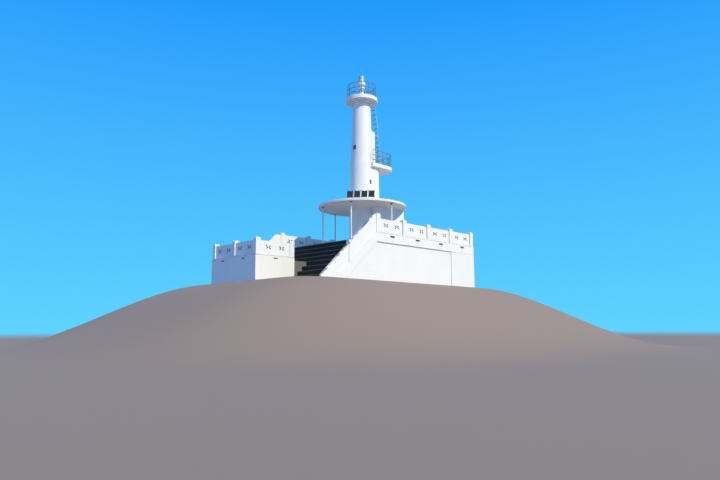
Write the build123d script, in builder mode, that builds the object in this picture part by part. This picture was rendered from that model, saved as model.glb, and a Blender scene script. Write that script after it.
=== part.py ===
"""A small concrete lighthouse with a round canopy, on a walled terrace with wide steps.

Millimetres, +Z up. The origin is on the tower's axis, at the level of the lowest wall foot.
+Y runs up the steps and away from the sea, and +X is the terrace's near long side.
"""

import math
import os

from build123d import *

os.makedirs("parts", exist_ok=True)

# Levels and plan of the terrace
floor_level = 3200
half_width = 5600
front_y = -4140
bay = 2790
bay_count = 4
post_x = 300
post_y = 400
back_y = front_y + post_y + bay_count * bay

# Terrace walls, from the ground up: recessed wall, projecting band, parapet
soffit_drop = 430
ledge_rise = 190
wall_thickness = 300
band_projection = 80
floor_thickness = 200
parapet_height = 1235
parapet_thickness = 150
panel_setback = 100
sill_height = 130
post_setback = 30
post_rise = 185
corner_post_rise = 340
post_chamfer = 45
drain_width = 350
drain_height = 80
flush_length = 3060

# Pierced screen blocks in the parapets
block_width = 520
block_height = 280
block_offset = 580
block_centre = 800
block_rib = 24

# Steps
riser_height = 385
tread_depth = 419
upper_step_count = 4
stair_rail_rise = 1640
stair_rail_flat = 1480
stair_ledge_drop = 1286
stair_foot_y = -9200
mid_post_y = -6790
mid_post_length = 400
mid_post_top_y = -6520

# Landing
landing_front_y = -10320
landing_side_end_y = -6940
landing_far_end_y = -6500
landing_bay_count = 2

# Canopy, its columns and the room under it
soffit_height = 3190
canopy_thickness = 190
canopy_radius = 3570
canopy_drip = 25
column_circle = 3230
column_diameter = 114
column_base_diameter = 230
column_base_height = 20
column_head_diameter = 190
column_head_height = 45
column_angles = (0, 180, 240, 300)
room_near_x = 1880
room_far_x = 1600
room_front_y = 120
room_back_y = 3000
room_wall = 180
room_door_width = 800
room_door_height = 2000
door_thickness = 45
inner_door_width = 600
inner_door_height = 1900

# Tower
base_radius = 985
base_offset = 600
base_wall = 200
shaft_bottom_radius = 910
shaft_top_radius = 725
shaft_wall = 150
segment_count = 8

# Balcony and the door bay above it
balcony_level = 6890
balcony_thickness = 280
balcony_half_width = 1250
balcony_start_y = 20
balcony_centre_y = 1790
bay_half_width = 500
bay_end_y = 1050
bay_wall = 130
bay_height = 2930
bay_roof_fall = 70
bay_roof_thickness = 120
shaft_doorway_width = 480
bay_door_width = 600
bay_door_height = 1900

# Window and louvre
window_level = 8200
window_width = 340
window_height = 380
window_frame_width = 35
window_frame_depth = 75
glass_thickness = 12
louvre_level = 5305
louvre_width = 150
louvre_height = 300
louvre_blade_count = 5
louvre_depth = 40
louvre_recess = 20

# Gallery and railings
gallery_level = 12516
gallery_thickness = 316
gallery_radius = 1320
gallery_step_radius = 930
gallery_step_thickness = 120
gallery_chamfer = 20
gallery_rail_radius = 1170
rail_diameter = 42
tube_sides = 8
rail_heights = (280, 670, 1100)
rail_inset = 60
rail_bays = 12
side_rail_bays = 3

# Ladder from the balcony to the gallery
ladder_half_width = 200
ladder_foot_y = 2100
ladder_top_y = 1240
ladder_top_level = 13600
ladder_rail_diameter = 48
rung_diameter = 24
rung_pitch = 400
first_rung = 300
bracket_level = 9780
bracket_size = 40

# Lantern
pedestal_diameter = 370
pedestal_flange = 620
pedestal_height = 935
flange_thickness = 25
collar_diameter = 670
collar_height = 510
collar_neck = 500
collar_neck_height = 260
collar_bevel = 40
lens_seat_diameter = 440
lens_seat_height = 110
lens_diameter = 480
lens_height = 430
lens_cap = 70
cap_overhang = 10
cap_rim = 20

# Solar panels on the canopy
panel_width = 470
panel_length = 640
panel_thickness = 35
panel_pitch = 550
panel_count = 4
panel_tilt = 62
panel_bearing = -50
panel_distance = 3220
panel_across = -47
panel_lift = 90
panel_horn = 120
panel_arm = 45

# Levels that follow from these sizes
soffit_z = floor_level - soffit_drop
ledge_z = floor_level + ledge_rise
parapet_z = floor_level + parapet_height
post_z = parapet_z + post_rise
corner_post_z = parapet_z + corner_post_rise
landing_level = floor_level - upper_step_count * riser_height
landing_ledge_z = landing_level + ledge_rise
landing_parapet_z = landing_level + parapet_height
landing_post_z = landing_parapet_z + post_rise
canopy_z = floor_level + soffit_height
canopy_top_z = canopy_z + canopy_thickness
balcony_z = floor_level + balcony_level
base_top_z = balcony_z - balcony_thickness
gallery_z = floor_level + gallery_level
gallery_soffit_z = gallery_z - gallery_thickness
shaft_top_z = gallery_soffit_z - gallery_step_thickness
bay_inner = bay_half_width - bay_wall
bay_eaves_z = balcony_z + bay_height - bay_roof_fall
bay_ceiling_z = bay_eaves_z - bay_roof_thickness
stair_slope = riser_height / tread_depth
post_face = half_width - post_setback
panel_face = half_width - panel_setback
inner_face = half_width - band_projection - wall_thickness
first_post_y = front_y + post_y / 2
step_foot_y = front_y - tread_depth * upper_step_count + tread_depth


def save(piece, name):
    piece.part.label = name
    export_step(piece.part, f"parts/{name}.step")


def stair_rail_z(y, drop=0):
    """Height of the sloping balustrade's top line at y, or of a line parallel to it."""
    return floor_level + stair_rail_rise - drop + stair_slope * (y - front_y)


def stair_rail_y(z, drop=0):
    return front_y + (z - floor_level - stair_rail_rise + drop) / stair_slope


def side_plane(x):
    """A plane facing +X, drawn on in Y and Z."""
    return Plane(origin=(x, 0, 0), x_dir=(0, 1, 0), z_dir=(1, 0, 0))


def front_plane(y):
    """A plane facing -Y, drawn on in X and Z."""
    return Plane(origin=(0, y, 0), x_dir=(1, 0, 0), z_dir=(0, -1, 0))


# Terrace walls. The near one runs on under the balustrade beside the steps
band_depth = band_projection + wall_thickness
band_height = ledge_z - soffit_z
soffit_foot_y = stair_rail_y(0, stair_rail_z(front_y) - soffit_z)
with BuildPart() as side_walls:
    with BuildSketch(side_plane(half_width - band_projection)):
        with BuildLine():
            Polyline((back_y, 0), (back_y, soffit_z), (front_y, soffit_z), (soffit_foot_y, 0), close=True)
        make_face()
    extrude(amount=-wall_thickness)
    with BuildSketch(side_plane(band_projection - half_width)):
        with Locations(((front_y + back_y) / 2, soffit_z / 2)):
            Rectangle(back_y - front_y, soffit_z)
    extrude(amount=wall_thickness)
    for side in (-1, 1):
        with BuildSketch(side_plane(side * half_width)):
            with Locations((back_y - flush_length / 2, soffit_z / 2)):
                Rectangle(flush_length, soffit_z)
        extrude(amount=-side * band_projection)
save(side_walls, "side_walls")

drain_ys = [first_post_y + bay * (i + 0.5) for i in range(bay_count)]
with BuildPart() as side_bands:
    for side in (-1, 1):
        with BuildSketch(side_plane(side * half_width)):
            with Locations(((front_y + back_y) / 2, (soffit_z + ledge_z) / 2)):
                Rectangle(back_y - front_y, band_height)
            with Locations(*[(y, floor_level + drain_height / 2) for y in drain_ys]):
                Rectangle(drain_width, drain_height, mode=Mode.SUBTRACT)
        extrude(amount=-side * band_depth)
save(side_bands, "side_bands")

back_bay = (2 * post_face - post_x) / bay_count
back_drain_xs = [-post_face + post_x / 2 + back_bay * (i + 0.5) for i in range(bay_count)]
with BuildPart() as back_wall:
    with BuildSketch(front_plane(back_y)):
        with Locations((0, ledge_z / 2)):
            Rectangle(2 * inner_face, ledge_z)
        with Locations(*[(x, floor_level + drain_height / 2) for x in back_drain_xs]):
            Rectangle(drain_width, drain_height, mode=Mode.SUBTRACT)
    extrude(amount=band_depth)
save(back_wall, "back_wall")

# Terrace floor and the mass that it lies on, behind the top step
core_front_y = front_y + tread_depth
core_y = back_y - band_depth
with BuildPart() as terrace_core:
    with BuildSketch():
        with Locations((0, (core_front_y + core_y) / 2)):
            Rectangle(2 * inner_face, core_y - core_front_y)
    extrude(amount=floor_level - floor_thickness)
save(terrace_core, "terrace_core")

with BuildPart() as terrace_floor:
    with BuildSketch(Plane.XY.offset(floor_level - floor_thickness)):
        with Locations((0, (core_front_y + core_y) / 2)):
            Rectangle(2 * inner_face, core_y - core_front_y)
    extrude(amount=floor_thickness)
save(terrace_floor, "terrace_floor")


def parapet_panel(face, start, end, low, high, centres):
    """One bay of parapet: a sill at the post face and a thinner panel with holes for its blocks."""
    middle = (start + end) / 2
    with BuildPart() as panel:
        with BuildSketch(face):
            with Locations((middle, low + sill_height / 2)):
                Rectangle(end - start, sill_height)
        extrude(amount=-(panel_setback - post_setback + parapet_thickness))
        with BuildSketch(face.offset(post_setback - panel_setback)):
            with Locations((middle, (low + high) / 2)):
                Rectangle(end - start, high - low)
        extrude(amount=-parapet_thickness)
        with BuildSketch(face):
            with Locations(*[(c, low - ledge_rise + block_centre) for c in centres]):
                Rectangle(block_width, block_height)
        extrude(amount=-(panel_setback - post_setback + parapet_thickness), mode=Mode.SUBTRACT)
    return panel.part


def block_centres(start, end):
    middle = (start + end) / 2
    return [middle - block_offset, middle + block_offset]


near_face = side_plane(post_face)
far_face = Plane(origin=(-post_face, 0, 0), x_dir=(0, -1, 0), z_dir=(-1, 0, 0))
back_face = Plane(origin=(0, back_y - post_setback, 0), x_dir=(-1, 0, 0), z_dir=(0, 1, 0))
terrace_spans = [
    (first_post_y + i * bay + post_y / 2, first_post_y + (i + 1) * bay - post_y / 2)
    for i in range(bay_count)
]
back_spans = [
    (-post_face + post_x + i * back_bay, -post_face + (i + 1) * back_bay)
    for i in range(bay_count)
]

near_panels = [
    parapet_panel(near_face, a, b, ledge_z, parapet_z, block_centres(a, b)) for a, b in terrace_spans
]
with BuildPart() as side_parapets:
    add(near_panels)
    mirror(about=Plane.YZ)
save(side_parapets, "side_parapets")

back_panels = [
    parapet_panel(back_face, a, b, ledge_z, parapet_z, block_centres(a, b)) for a, b in back_spans
]
with BuildPart() as back_parapet:
    add(back_panels)
save(back_parapet, "back_parapet")


def post(x, y, low, high):
    """A square-cut post with a small chamfer round its top."""
    with BuildPart() as shape:
        with BuildSketch(Plane.XY.offset(low)):
            with Locations((x, y)):
                Rectangle(post_x, post_y)
        extrude(amount=high - low)
        chamfer(shape.faces().sort_by(Axis.Z)[-1].edges(), post_chamfer)
    return shape.part


post_line = post_face - post_x / 2
side_posts = []
for side in (-1, 1):
    for i in range(bay_count + 1):
        top = corner_post_z if (side, i) == (1, 0) else post_z
        side_posts.append(post(side * post_line, first_post_y + i * bay, ledge_z, top))
back_posts = [
    post(-post_line + i * back_bay, back_y - post_setback - post_y / 2, ledge_z, post_z)
    for i in range(1, bay_count)
]

# Balustrade beside the steps, near side
rail_flat_z = floor_level + stair_rail_flat
ledge_corner_y = stair_rail_y(ledge_z, stair_ledge_drop)
ledge_foot_y = stair_rail_y(0, stair_ledge_drop)
with BuildPart() as near_stair_band:
    with BuildSketch(side_plane(half_width)):
        with BuildLine():
            Polyline(
                (front_y, soffit_z),
                (front_y, ledge_z),
                (ledge_corner_y, ledge_z),
                (ledge_foot_y, 0),
                (soffit_foot_y, 0),
                close=True,
            )
        make_face()
    extrude(amount=-band_depth)
save(near_stair_band, "near_stair_band")

mid_post_z = stair_rail_z(mid_post_top_y)
mid_post_end_y = mid_post_y + mid_post_length
with BuildPart() as near_stair_parapet:
    with BuildSketch(side_plane(panel_face)):
        with BuildLine():
            Polyline(
                (front_y, ledge_z),
                (front_y, rail_flat_z),
                (stair_rail_y(rail_flat_z), rail_flat_z),
                (stair_foot_y, stair_rail_z(stair_foot_y)),
                (stair_foot_y, 0),
                (ledge_foot_y, 0),
                (ledge_corner_y, ledge_z),
                close=True,
            )
        make_face()
    extrude(amount=-parapet_thickness)
    with BuildSketch(side_plane(post_face)):
        with BuildLine():
            Polyline(
                (mid_post_y, stair_rail_z(mid_post_y, stair_ledge_drop)),
                (mid_post_y, mid_post_z),
                (mid_post_end_y, mid_post_z),
                (mid_post_end_y, stair_rail_z(mid_post_end_y, stair_ledge_drop)),
                close=True,
            )
        make_face()
    extrude(amount=-post_x)
save(near_stair_parapet, "near_stair_parapet")

# Balustrade beside the steps, far side: it stops at the landing's parapet
far_rail_y = stair_rail_y(landing_parapet_z)
landing_ledge_y = stair_rail_y(landing_ledge_z, stair_ledge_drop)
with BuildPart() as far_stair_wall:
    with BuildSketch(side_plane(-half_width)):
        with BuildLine():
            Polyline(
                (front_y, 0),
                (front_y, ledge_z),
                (ledge_corner_y, ledge_z),
                (landing_ledge_y, landing_ledge_z),
                (landing_far_end_y, landing_ledge_z),
                (landing_far_end_y, 0),
                close=True,
            )
        make_face()
    extrude(amount=band_depth)
save(far_stair_wall, "far_stair_wall")

with BuildPart() as far_stair_parapet:
    with BuildSketch(side_plane(-panel_face)):
        with BuildLine():
            Polyline(
                (front_y, ledge_z),
                (front_y, parapet_z),
                (stair_rail_y(parapet_z), parapet_z),
                (far_rail_y, landing_parapet_z),
                (landing_far_end_y, landing_parapet_z),
                (landing_far_end_y, landing_ledge_z),
                (landing_ledge_y, landing_ledge_z),
                (ledge_corner_y, ledge_z),
                close=True,
            )
        make_face()
    extrude(amount=parapet_thickness)
save(far_stair_parapet, "far_stair_parapet")


def flight(first, last, x_low, x_high):
    """A solid flight: the tread of step n lies n risers under the terrace floor."""
    start_y = front_y - (first - 1) * tread_depth
    points = [(start_y, 0)]
    for n in range(first, last + 1):
        z = floor_level - n * riser_height
        points.append((start_y - (n - first) * tread_depth, z))
        points.append((start_y - (n - first + 1) * tread_depth, z))
    points.append((points[-1][0], 0))
    with BuildPart() as shape:
        with BuildSketch(side_plane(x_high)):
            with BuildLine():
                Polyline(*points, close=True)
            make_face()
        extrude(amount=x_low - x_high)
    return shape


# Wide steps: the upper flight spans the terrace, the lower one stands beside the landing
step_count = math.floor(floor_level / riser_height)
upper_steps = flight(0, upper_step_count - 1, -inner_face, inner_face)
save(upper_steps, "upper_steps")
lower_steps = flight(upper_step_count, step_count, 0, inner_face)
save(lower_steps, "lower_steps")

# Landing
landing_side_in = -band_depth
landing_floor_front_y = landing_front_y + band_depth
with BuildPart() as landing_floor:
    with BuildSketch():
        with BuildLine():
            Polyline(
                (-inner_face, step_foot_y),
                (0, step_foot_y),
                (0, landing_side_end_y),
                (landing_side_in, landing_side_end_y),
                (landing_side_in, landing_floor_front_y),
                (-inner_face, landing_floor_front_y),
                close=True,
            )
        make_face()
    extrude(amount=landing_level)
save(landing_floor, "landing_floor")

landing_post_xs = [-post_line, -(post_line + post_setback + post_x / 2) / 2, -post_setback - post_x / 2]
landing_post_front_y = landing_front_y + post_setback + post_y / 2
landing_spans_x = [
    (landing_post_xs[i] + post_x / 2, landing_post_xs[i + 1] - post_x / 2) for i in range(landing_bay_count)
]
landing_side_post_y = landing_side_end_y - post_y / 2
landing_side_span = (landing_post_front_y + post_y / 2, landing_side_post_y - post_y / 2)
landing_far_post_y = landing_far_end_y - post_y / 2
landing_far_span = (post_y / 2 - landing_far_post_y, -landing_post_front_y - post_y / 2)

with BuildPart() as landing_walls:
    with BuildSketch():
        with BuildLine():
            Polyline(
                (-half_width, landing_far_end_y),
                (-half_width, landing_front_y),
                (0, landing_front_y),
                (0, landing_side_end_y),
                (landing_side_in, landing_side_end_y),
                (landing_side_in, landing_floor_front_y),
                (-inner_face, landing_floor_front_y),
                (-inner_face, landing_far_end_y),
                close=True,
            )
        make_face()
    extrude(amount=landing_ledge_z)
    with BuildSketch(side_plane(0)):
        with Locations((sum(landing_side_span) / 2, landing_level + drain_height / 2)):
            Rectangle(drain_width, drain_height)
    extrude(amount=-band_depth, mode=Mode.SUBTRACT)
    with BuildSketch(side_plane(-half_width)):
        with Locations((-sum(landing_far_span) / 2, landing_level + drain_height / 2)):
            Rectangle(drain_width, drain_height)
    extrude(amount=band_depth, mode=Mode.SUBTRACT)
    with BuildSketch(front_plane(landing_front_y)):
        with Locations(*[((a + b) / 2, landing_level + drain_height / 2) for a, b in landing_spans_x]):
            Rectangle(drain_width, drain_height)
    extrude(amount=-band_depth, mode=Mode.SUBTRACT)
save(landing_walls, "landing_walls")

landing_front_face = front_plane(landing_front_y + post_setback)
landing_side_face = side_plane(-post_setback)
landing_bays = [(landing_front_face, a, b) for a, b in landing_spans_x]
landing_bays.append((landing_side_face, *landing_side_span))
landing_bays.append((far_face, *landing_far_span))
landing_panels = [
    parapet_panel(face, a, b, landing_ledge_z, landing_parapet_z, block_centres(a, b))
    for face, a, b in landing_bays
]
with BuildPart() as landing_parapet:
    add(landing_panels)
save(landing_parapet, "landing_parapet")

landing_post_list = [
    post(x, landing_post_front_y, landing_ledge_z, landing_post_z) for x in landing_post_xs
]
landing_post_list.append(
    post(landing_post_xs[-1], landing_side_post_y, landing_ledge_z, landing_post_z)
)
landing_post_list.append(post(-post_line, landing_far_post_y, landing_ledge_z, landing_post_z))
with BuildPart() as parapet_posts:
    add(side_posts + back_posts + landing_post_list)
save(parapet_posts, "parapet_posts")


# Screen block: four leaf-shaped holes, cut right through
leaf_reach_x = block_width / 4
leaf_reach_y = block_height / 4
leaf_length = block_width / 2 - block_rib
leaf_width = block_height / 2 - 2 * block_rib
leaf_angle = math.degrees(math.atan2(block_height, block_width))
with BuildSketch() as leaf:
    with BuildLine():
        ThreePointArc((-leaf_length / 2, 0), (0, leaf_width / 2), (leaf_length / 2, 0))
        ThreePointArc((leaf_length / 2, 0), (0, -leaf_width / 2), (-leaf_length / 2, 0))
    make_face()
with BuildPart() as screen_block:
    with BuildSketch():
        Rectangle(block_width, block_height)
        for sx, sy in ((1, 1), (-1, 1), (-1, -1), (1, -1)):
            turn = (0, 0, sx * sy * leaf_angle)
            with Locations(Location((sx * leaf_reach_x, sy * leaf_reach_y, 0), turn)):
                add(leaf.sketch, mode=Mode.SUBTRACT)
    extrude(amount=-parapet_thickness)


def block_places(face, spans, low):
    """Where the blocks of a row of bays stand, on the panels' outer face."""
    panel = face.offset(post_setback - panel_setback)
    height = low - ledge_rise + block_centre
    return [panel.location * Location((c, height, 0)) for a, b in spans for c in block_centres(a, b)]


far_spans = [(-b, -a) for a, b in terrace_spans]
places = block_places(near_face, terrace_spans, ledge_z)
places += block_places(far_face, far_spans, ledge_z)
places += block_places(back_face, back_spans, ledge_z)
places += block_places(landing_front_face, landing_spans_x, landing_ledge_z)
places += block_places(landing_side_face, [landing_side_span], landing_ledge_z)
places += block_places(far_face, [landing_far_span], landing_ledge_z)
with BuildPart() as screen_blocks:
    with Locations(*places):
        add(screen_block.part)
save(screen_blocks, "screen_blocks")


def tower_plan(radius, offset):
    """A circle, drawn out towards +Y by the offset."""
    Circle(radius)
    if offset:
        with Locations((0, offset)):
            Circle(radius)
        with Locations((0, offset / 2)):
            Rectangle(2 * radius, offset)


# Canopy roof, with a hole for the tower and a drip edge
with BuildPart() as canopy_roof:
    with BuildSketch(Plane.XY.offset(canopy_z)):
        Circle(canopy_radius)
    extrude(amount=canopy_thickness)
    chamfer(canopy_roof.edges(), canopy_drip)
    with BuildSketch(Plane.XY.offset(canopy_z)):
        tower_plan(base_radius, base_offset)
    extrude(amount=canopy_thickness, mode=Mode.SUBTRACT)
save(canopy_roof, "canopy_roof")

with BuildPart() as canopy_columns:
    for angle in column_angles:
        spot = (
            column_circle * math.cos(math.radians(angle)),
            column_circle * math.sin(math.radians(angle)),
        )
        with BuildSketch(Plane.XY.offset(floor_level)):
            with Locations(spot):
                Circle(column_diameter / 2)
        extrude(amount=soffit_height)
        with BuildSketch(Plane.XY.offset(floor_level)):
            with Locations(spot):
                Circle(column_base_diameter / 2)
        extrude(amount=column_base_height)
        with BuildSketch(Plane.XY.offset(canopy_z - column_head_height)):
            with Locations(spot):
                Circle(column_head_diameter / 2)
        extrude(amount=column_head_height)
save(canopy_columns, "canopy_columns")

# Room under the canopy
room_length = room_back_y - room_front_y
with BuildPart() as room_side_walls:
    with BuildSketch(Plane.XY.offset(floor_level)):
        for x in (room_wall / 2 - room_far_x, room_near_x - room_wall / 2):
            with Locations((x, room_front_y + room_length / 2)):
                Rectangle(room_wall, room_length)
    extrude(amount=soffit_height)
save(room_side_walls, "room_side_walls")

room_centre_x = (room_near_x - room_far_x) / 2
room_inner_width = room_near_x + room_far_x - 2 * room_wall
end_wall_ys = (room_front_y + room_wall / 2, room_back_y - room_wall / 2)
with BuildSketch() as tower_outline:
    tower_plan(base_radius, base_offset)
with BuildPart() as room_end_walls:
    with BuildSketch(Plane.XY.offset(floor_level)):
        with Locations(*[(room_centre_x, y) for y in end_wall_ys]):
            Rectangle(room_inner_width, room_wall)
        add(tower_outline.sketch, mode=Mode.SUBTRACT)
    extrude(amount=soffit_height)
    with BuildSketch(front_plane(room_back_y)):
        with Locations((0, floor_level + room_door_height / 2)):
            Rectangle(room_door_width, room_door_height)
    extrude(amount=room_wall, mode=Mode.SUBTRACT)
save(room_end_walls, "room_end_walls")

with BuildPart() as room_door:
    with BuildSketch(front_plane(room_back_y - room_wall / 2)):
        with Locations((0, floor_level + room_door_height / 2)):
            Rectangle(room_door_width, room_door_height)
    extrude(amount=door_thickness)
save(room_door, "room_door")


def wedge(index, low, high):
    """The sector of one tower segment, as a prism about the tower's axis."""
    step = math.radians(360 / segment_count)
    start = (index - 0.5) * step
    reach = 2 * (base_radius + base_offset)
    with BuildPart() as sector:
        with BuildSketch(Plane.XY.offset(low)):
            with BuildLine():
                Polyline(
                    (0, 0),
                    (reach * math.cos(start), reach * math.sin(start)),
                    (reach * math.cos(start + step), reach * math.sin(start + step)),
                    close=True,
                )
            make_face()
        extrude(amount=high - low)
    return sector.part


# Lower tower: an oblong shell in segments, from the terrace to the balcony
with BuildSketch() as base_inside:
    tower_plan(base_radius - base_wall, base_offset)
with BuildPart() as base_shell:
    with BuildSketch(Plane.XY.offset(floor_level)):
        add(tower_outline.sketch)
        add(base_inside.sketch, mode=Mode.SUBTRACT)
    extrude(amount=base_top_z - floor_level)
    with BuildSketch(front_plane(0)):
        with Locations((0, floor_level + inner_door_height / 2)):
            Rectangle(inner_door_width, inner_door_height)
    extrude(amount=-2 * base_radius, mode=Mode.SUBTRACT)
    with BuildSketch(side_plane(0)):
        with Locations((0, floor_level + louvre_level)):
            Rectangle(louvre_width, louvre_height)
    extrude(amount=2 * base_radius, mode=Mode.SUBTRACT)

# Shaft: a tapering shell in segments, from the balcony to the gallery
with BuildPart() as shaft_shell:
    with BuildSketch(Plane.XY.offset(balcony_z)):
        Circle(shaft_bottom_radius)
    with BuildSketch(Plane.XY.offset(shaft_top_z)):
        Circle(shaft_top_radius)
    loft(ruled=True)
    with BuildSketch(Plane.XY.offset(balcony_z)):
        Circle(shaft_bottom_radius - shaft_wall)
    with BuildSketch(Plane.XY.offset(shaft_top_z)):
        Circle(shaft_top_radius - shaft_wall)
    loft(ruled=True, mode=Mode.SUBTRACT)
    with BuildSketch(front_plane(0)):
        with Locations((0, (balcony_z + bay_ceiling_z) / 2)):
            Rectangle(shaft_doorway_width, bay_ceiling_z - balcony_z)
    extrude(amount=-2 * shaft_bottom_radius, mode=Mode.SUBTRACT)
    with BuildSketch(front_plane(0)):
        with Locations((0, floor_level + window_level)):
            Rectangle(window_width, window_height)
    extrude(amount=2 * shaft_bottom_radius, mode=Mode.SUBTRACT)

base_segments = [base_shell.part & wedge(i, floor_level, base_top_z) for i in range(segment_count)]
shaft_segments = [shaft_shell.part & wedge(i, balcony_z, shaft_top_z) for i in range(segment_count)]
for kind, start in (("odd", 1), ("even", 0)):
    with BuildPart() as base_half:
        add(base_segments[start::2])
    save(base_half, f"base_{kind}_segments")
    with BuildPart() as shaft_half:
        add(shaft_segments[start::2])
    save(shaft_half, f"shaft_{kind}_segments")

# Balcony slab, with the tower's own ring in the same pour
with BuildPart() as balcony_slab:
    with BuildSketch(Plane.XY.offset(base_top_z)):
        with Locations((0, (balcony_start_y + balcony_centre_y) / 2)):
            Rectangle(2 * balcony_half_width, balcony_centre_y - balcony_start_y)
        with Locations((0, balcony_centre_y)):
            Circle(balcony_half_width)
        Circle(base_radius)
        Circle(shaft_bottom_radius - shaft_wall, mode=Mode.SUBTRACT)
    extrude(amount=balcony_thickness)
save(balcony_slab, "balcony_slab")

# Door bay on the shaft, above the balcony
with BuildPart() as door_bay:
    with BuildSketch(side_plane(bay_half_width)):
        with BuildLine():
            Polyline(
                (0, balcony_z),
                (0, balcony_z + bay_height),
                (shaft_bottom_radius - shaft_wall, balcony_z + bay_height),
                (bay_end_y, bay_eaves_z),
                (bay_end_y, balcony_z),
                close=True,
            )
        make_face()
    extrude(amount=-2 * bay_half_width)
    with BuildSketch(side_plane(bay_inner)):
        with BuildLine():
            Polyline(
                (0, balcony_z),
                (0, bay_ceiling_z),
                (bay_end_y - bay_wall, bay_ceiling_z),
                (bay_end_y - bay_wall, balcony_z),
                close=True,
            )
        make_face()
    extrude(amount=-2 * bay_inner, mode=Mode.SUBTRACT)
    with BuildSketch(Plane.XY.offset(balcony_z)):
        Circle(shaft_bottom_radius)
    with BuildSketch(Plane.XY.offset(shaft_top_z)):
        Circle(shaft_top_radius)
    loft(ruled=True, mode=Mode.SUBTRACT)
    with BuildSketch(front_plane(bay_end_y)):
        with Locations((0, balcony_z + bay_door_height / 2)):
            Rectangle(bay_door_width, bay_door_height)
    extrude(amount=bay_wall, mode=Mode.SUBTRACT)
save(door_bay, "door_bay")

with BuildPart() as balcony_door:
    with BuildSketch(front_plane(bay_end_y - bay_wall / 2)):
        with Locations((0, balcony_z + bay_door_height / 2)):
            Rectangle(bay_door_width, bay_door_height)
    extrude(amount=door_thickness)
save(balcony_door, "balcony_door")

# Gallery slab over its smaller step
with BuildPart() as gallery_slab:
    with BuildSketch(Plane.XY.offset(gallery_soffit_z)):
        Circle(gallery_radius)
    extrude(amount=gallery_thickness)
    chamfer(gallery_slab.edges(), gallery_chamfer)
    with BuildSketch(Plane.XY.offset(shaft_top_z)):
        Circle(gallery_step_radius)
    extrude(amount=gallery_step_thickness)
save(gallery_slab, "gallery_slab")


def rail_arc(centre_y, radius, level, start, sweep_angle):
    """The rails of one curved bay, with the post at its middle."""
    base = Plane.XZ.rotated((0, 0, start))
    plane = Plane(origin=(0, centre_y, 0), x_dir=base.x_dir, z_dir=base.z_dir)
    axis = Axis((0, centre_y, 0), (0, 0, 1))
    with BuildPart() as rails:
        with BuildSketch(plane):
            with Locations(*[(radius, level + h) for h in rail_heights]):
                RegularPolygon(rail_diameter / 2, tube_sides)
        revolve(axis=axis, revolution_arc=sweep_angle)
        angle = math.radians(start + sweep_angle / 2)
        with BuildSketch(Plane.XY.offset(level)):
            with Locations((radius * math.cos(angle), centre_y + radius * math.sin(angle))):
                RegularPolygon(rail_diameter / 2, tube_sides)
        extrude(amount=rail_heights[-1])
    return rails.part


# Gallery railing: alternate bays share a node
bay_angle = 360 / rail_bays
gallery_rails = [
    rail_arc(0, gallery_rail_radius, gallery_z, i * bay_angle, bay_angle) for i in range(rail_bays)
]
for kind, start in (("odd", 1), ("even", 0)):
    with BuildPart() as railing:
        add(gallery_rails[start::2])
    save(railing, f"gallery_railing_{kind}_bays")

# Balcony railing: two straight sides and a half round end
balcony_rail_x = balcony_half_width - rail_inset
side_start_y = balcony_start_y + rail_inset
side_length = balcony_centre_y - side_start_y


def straight_rail(x):
    """The rails of one straight side, with posts along it."""
    post_ys = [side_start_y + side_length * i / side_rail_bays for i in range(side_rail_bays + 1)]
    post_ys[0] += rail_diameter / 2
    post_ys[-1] -= rail_diameter / 2
    with BuildPart() as rails:
        with BuildSketch(Plane.XZ.offset(-side_start_y)):
            with Locations(*[(x, balcony_z + h) for h in rail_heights]):
                RegularPolygon(rail_diameter / 2, tube_sides)
        extrude(amount=-side_length)
        with BuildSketch(Plane.XY.offset(balcony_z)):
            with Locations(*[(x, y) for y in post_ys]):
                RegularPolygon(rail_diameter / 2, tube_sides)
        extrude(amount=rail_heights[-1])
    return rails.part


end_rails = [
    rail_arc(balcony_centre_y, balcony_rail_x, balcony_z, i * bay_angle, bay_angle)
    for i in range(rail_bays // 2)
]
side_rails = [straight_rail(-balcony_rail_x), straight_rail(balcony_rail_x)]
with BuildPart() as balcony_side_rails:
    add(side_rails + end_rails[1::2])
save(balcony_side_rails, "balcony_side_rails")

with BuildPart() as balcony_end_rails:
    add(end_rails[0::2])
save(balcony_end_rails, "balcony_end_rails")

# Ladder, leaning in from the balcony floor to the gallery's edge
ladder_foot = Vector(0, ladder_foot_y, balcony_z)
ladder_top = Vector(0, ladder_top_y, floor_level + ladder_top_level)
ladder_run = ladder_top - ladder_foot
ladder_line = ladder_run.normalized()
rung_count = math.floor((ladder_run.length - first_rung) / rung_pitch) + 1


def ladder_y(z):
    share = (z - ladder_foot.Z) / (ladder_top.Z - ladder_foot.Z)
    return ladder_foot.Y + share * (ladder_top.Y - ladder_foot.Y)


with BuildPart() as ladder:
    for side in (-1, 1):
        start = ladder_foot + Vector(side * ladder_half_width, 0, 0) - ladder_line * ladder_rail_diameter
        with BuildSketch(Plane(origin=start, x_dir=(1, 0, 0), z_dir=ladder_line)):
            RegularPolygon(ladder_rail_diameter / 2, tube_sides)
        extrude(amount=ladder_run.length + ladder_rail_diameter)
    for i in range(rung_count):
        spot = ladder_foot + ladder_line * (first_rung + rung_pitch * i)
        with BuildSketch(Plane(origin=spot - Vector(ladder_half_width, 0, 0), z_dir=(1, 0, 0))):
            RegularPolygon(rung_diameter / 2, tube_sides)
        extrude(amount=2 * ladder_half_width)
    with BuildSketch(Plane.XY.offset(balcony_z - 2 * ladder_rail_diameter)):
        with Locations((0, ladder_foot_y)):
            Rectangle(4 * ladder_half_width, 10 * ladder_rail_diameter)
    extrude(amount=2 * ladder_rail_diameter, mode=Mode.SUBTRACT)
save(ladder, "ladder")

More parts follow.
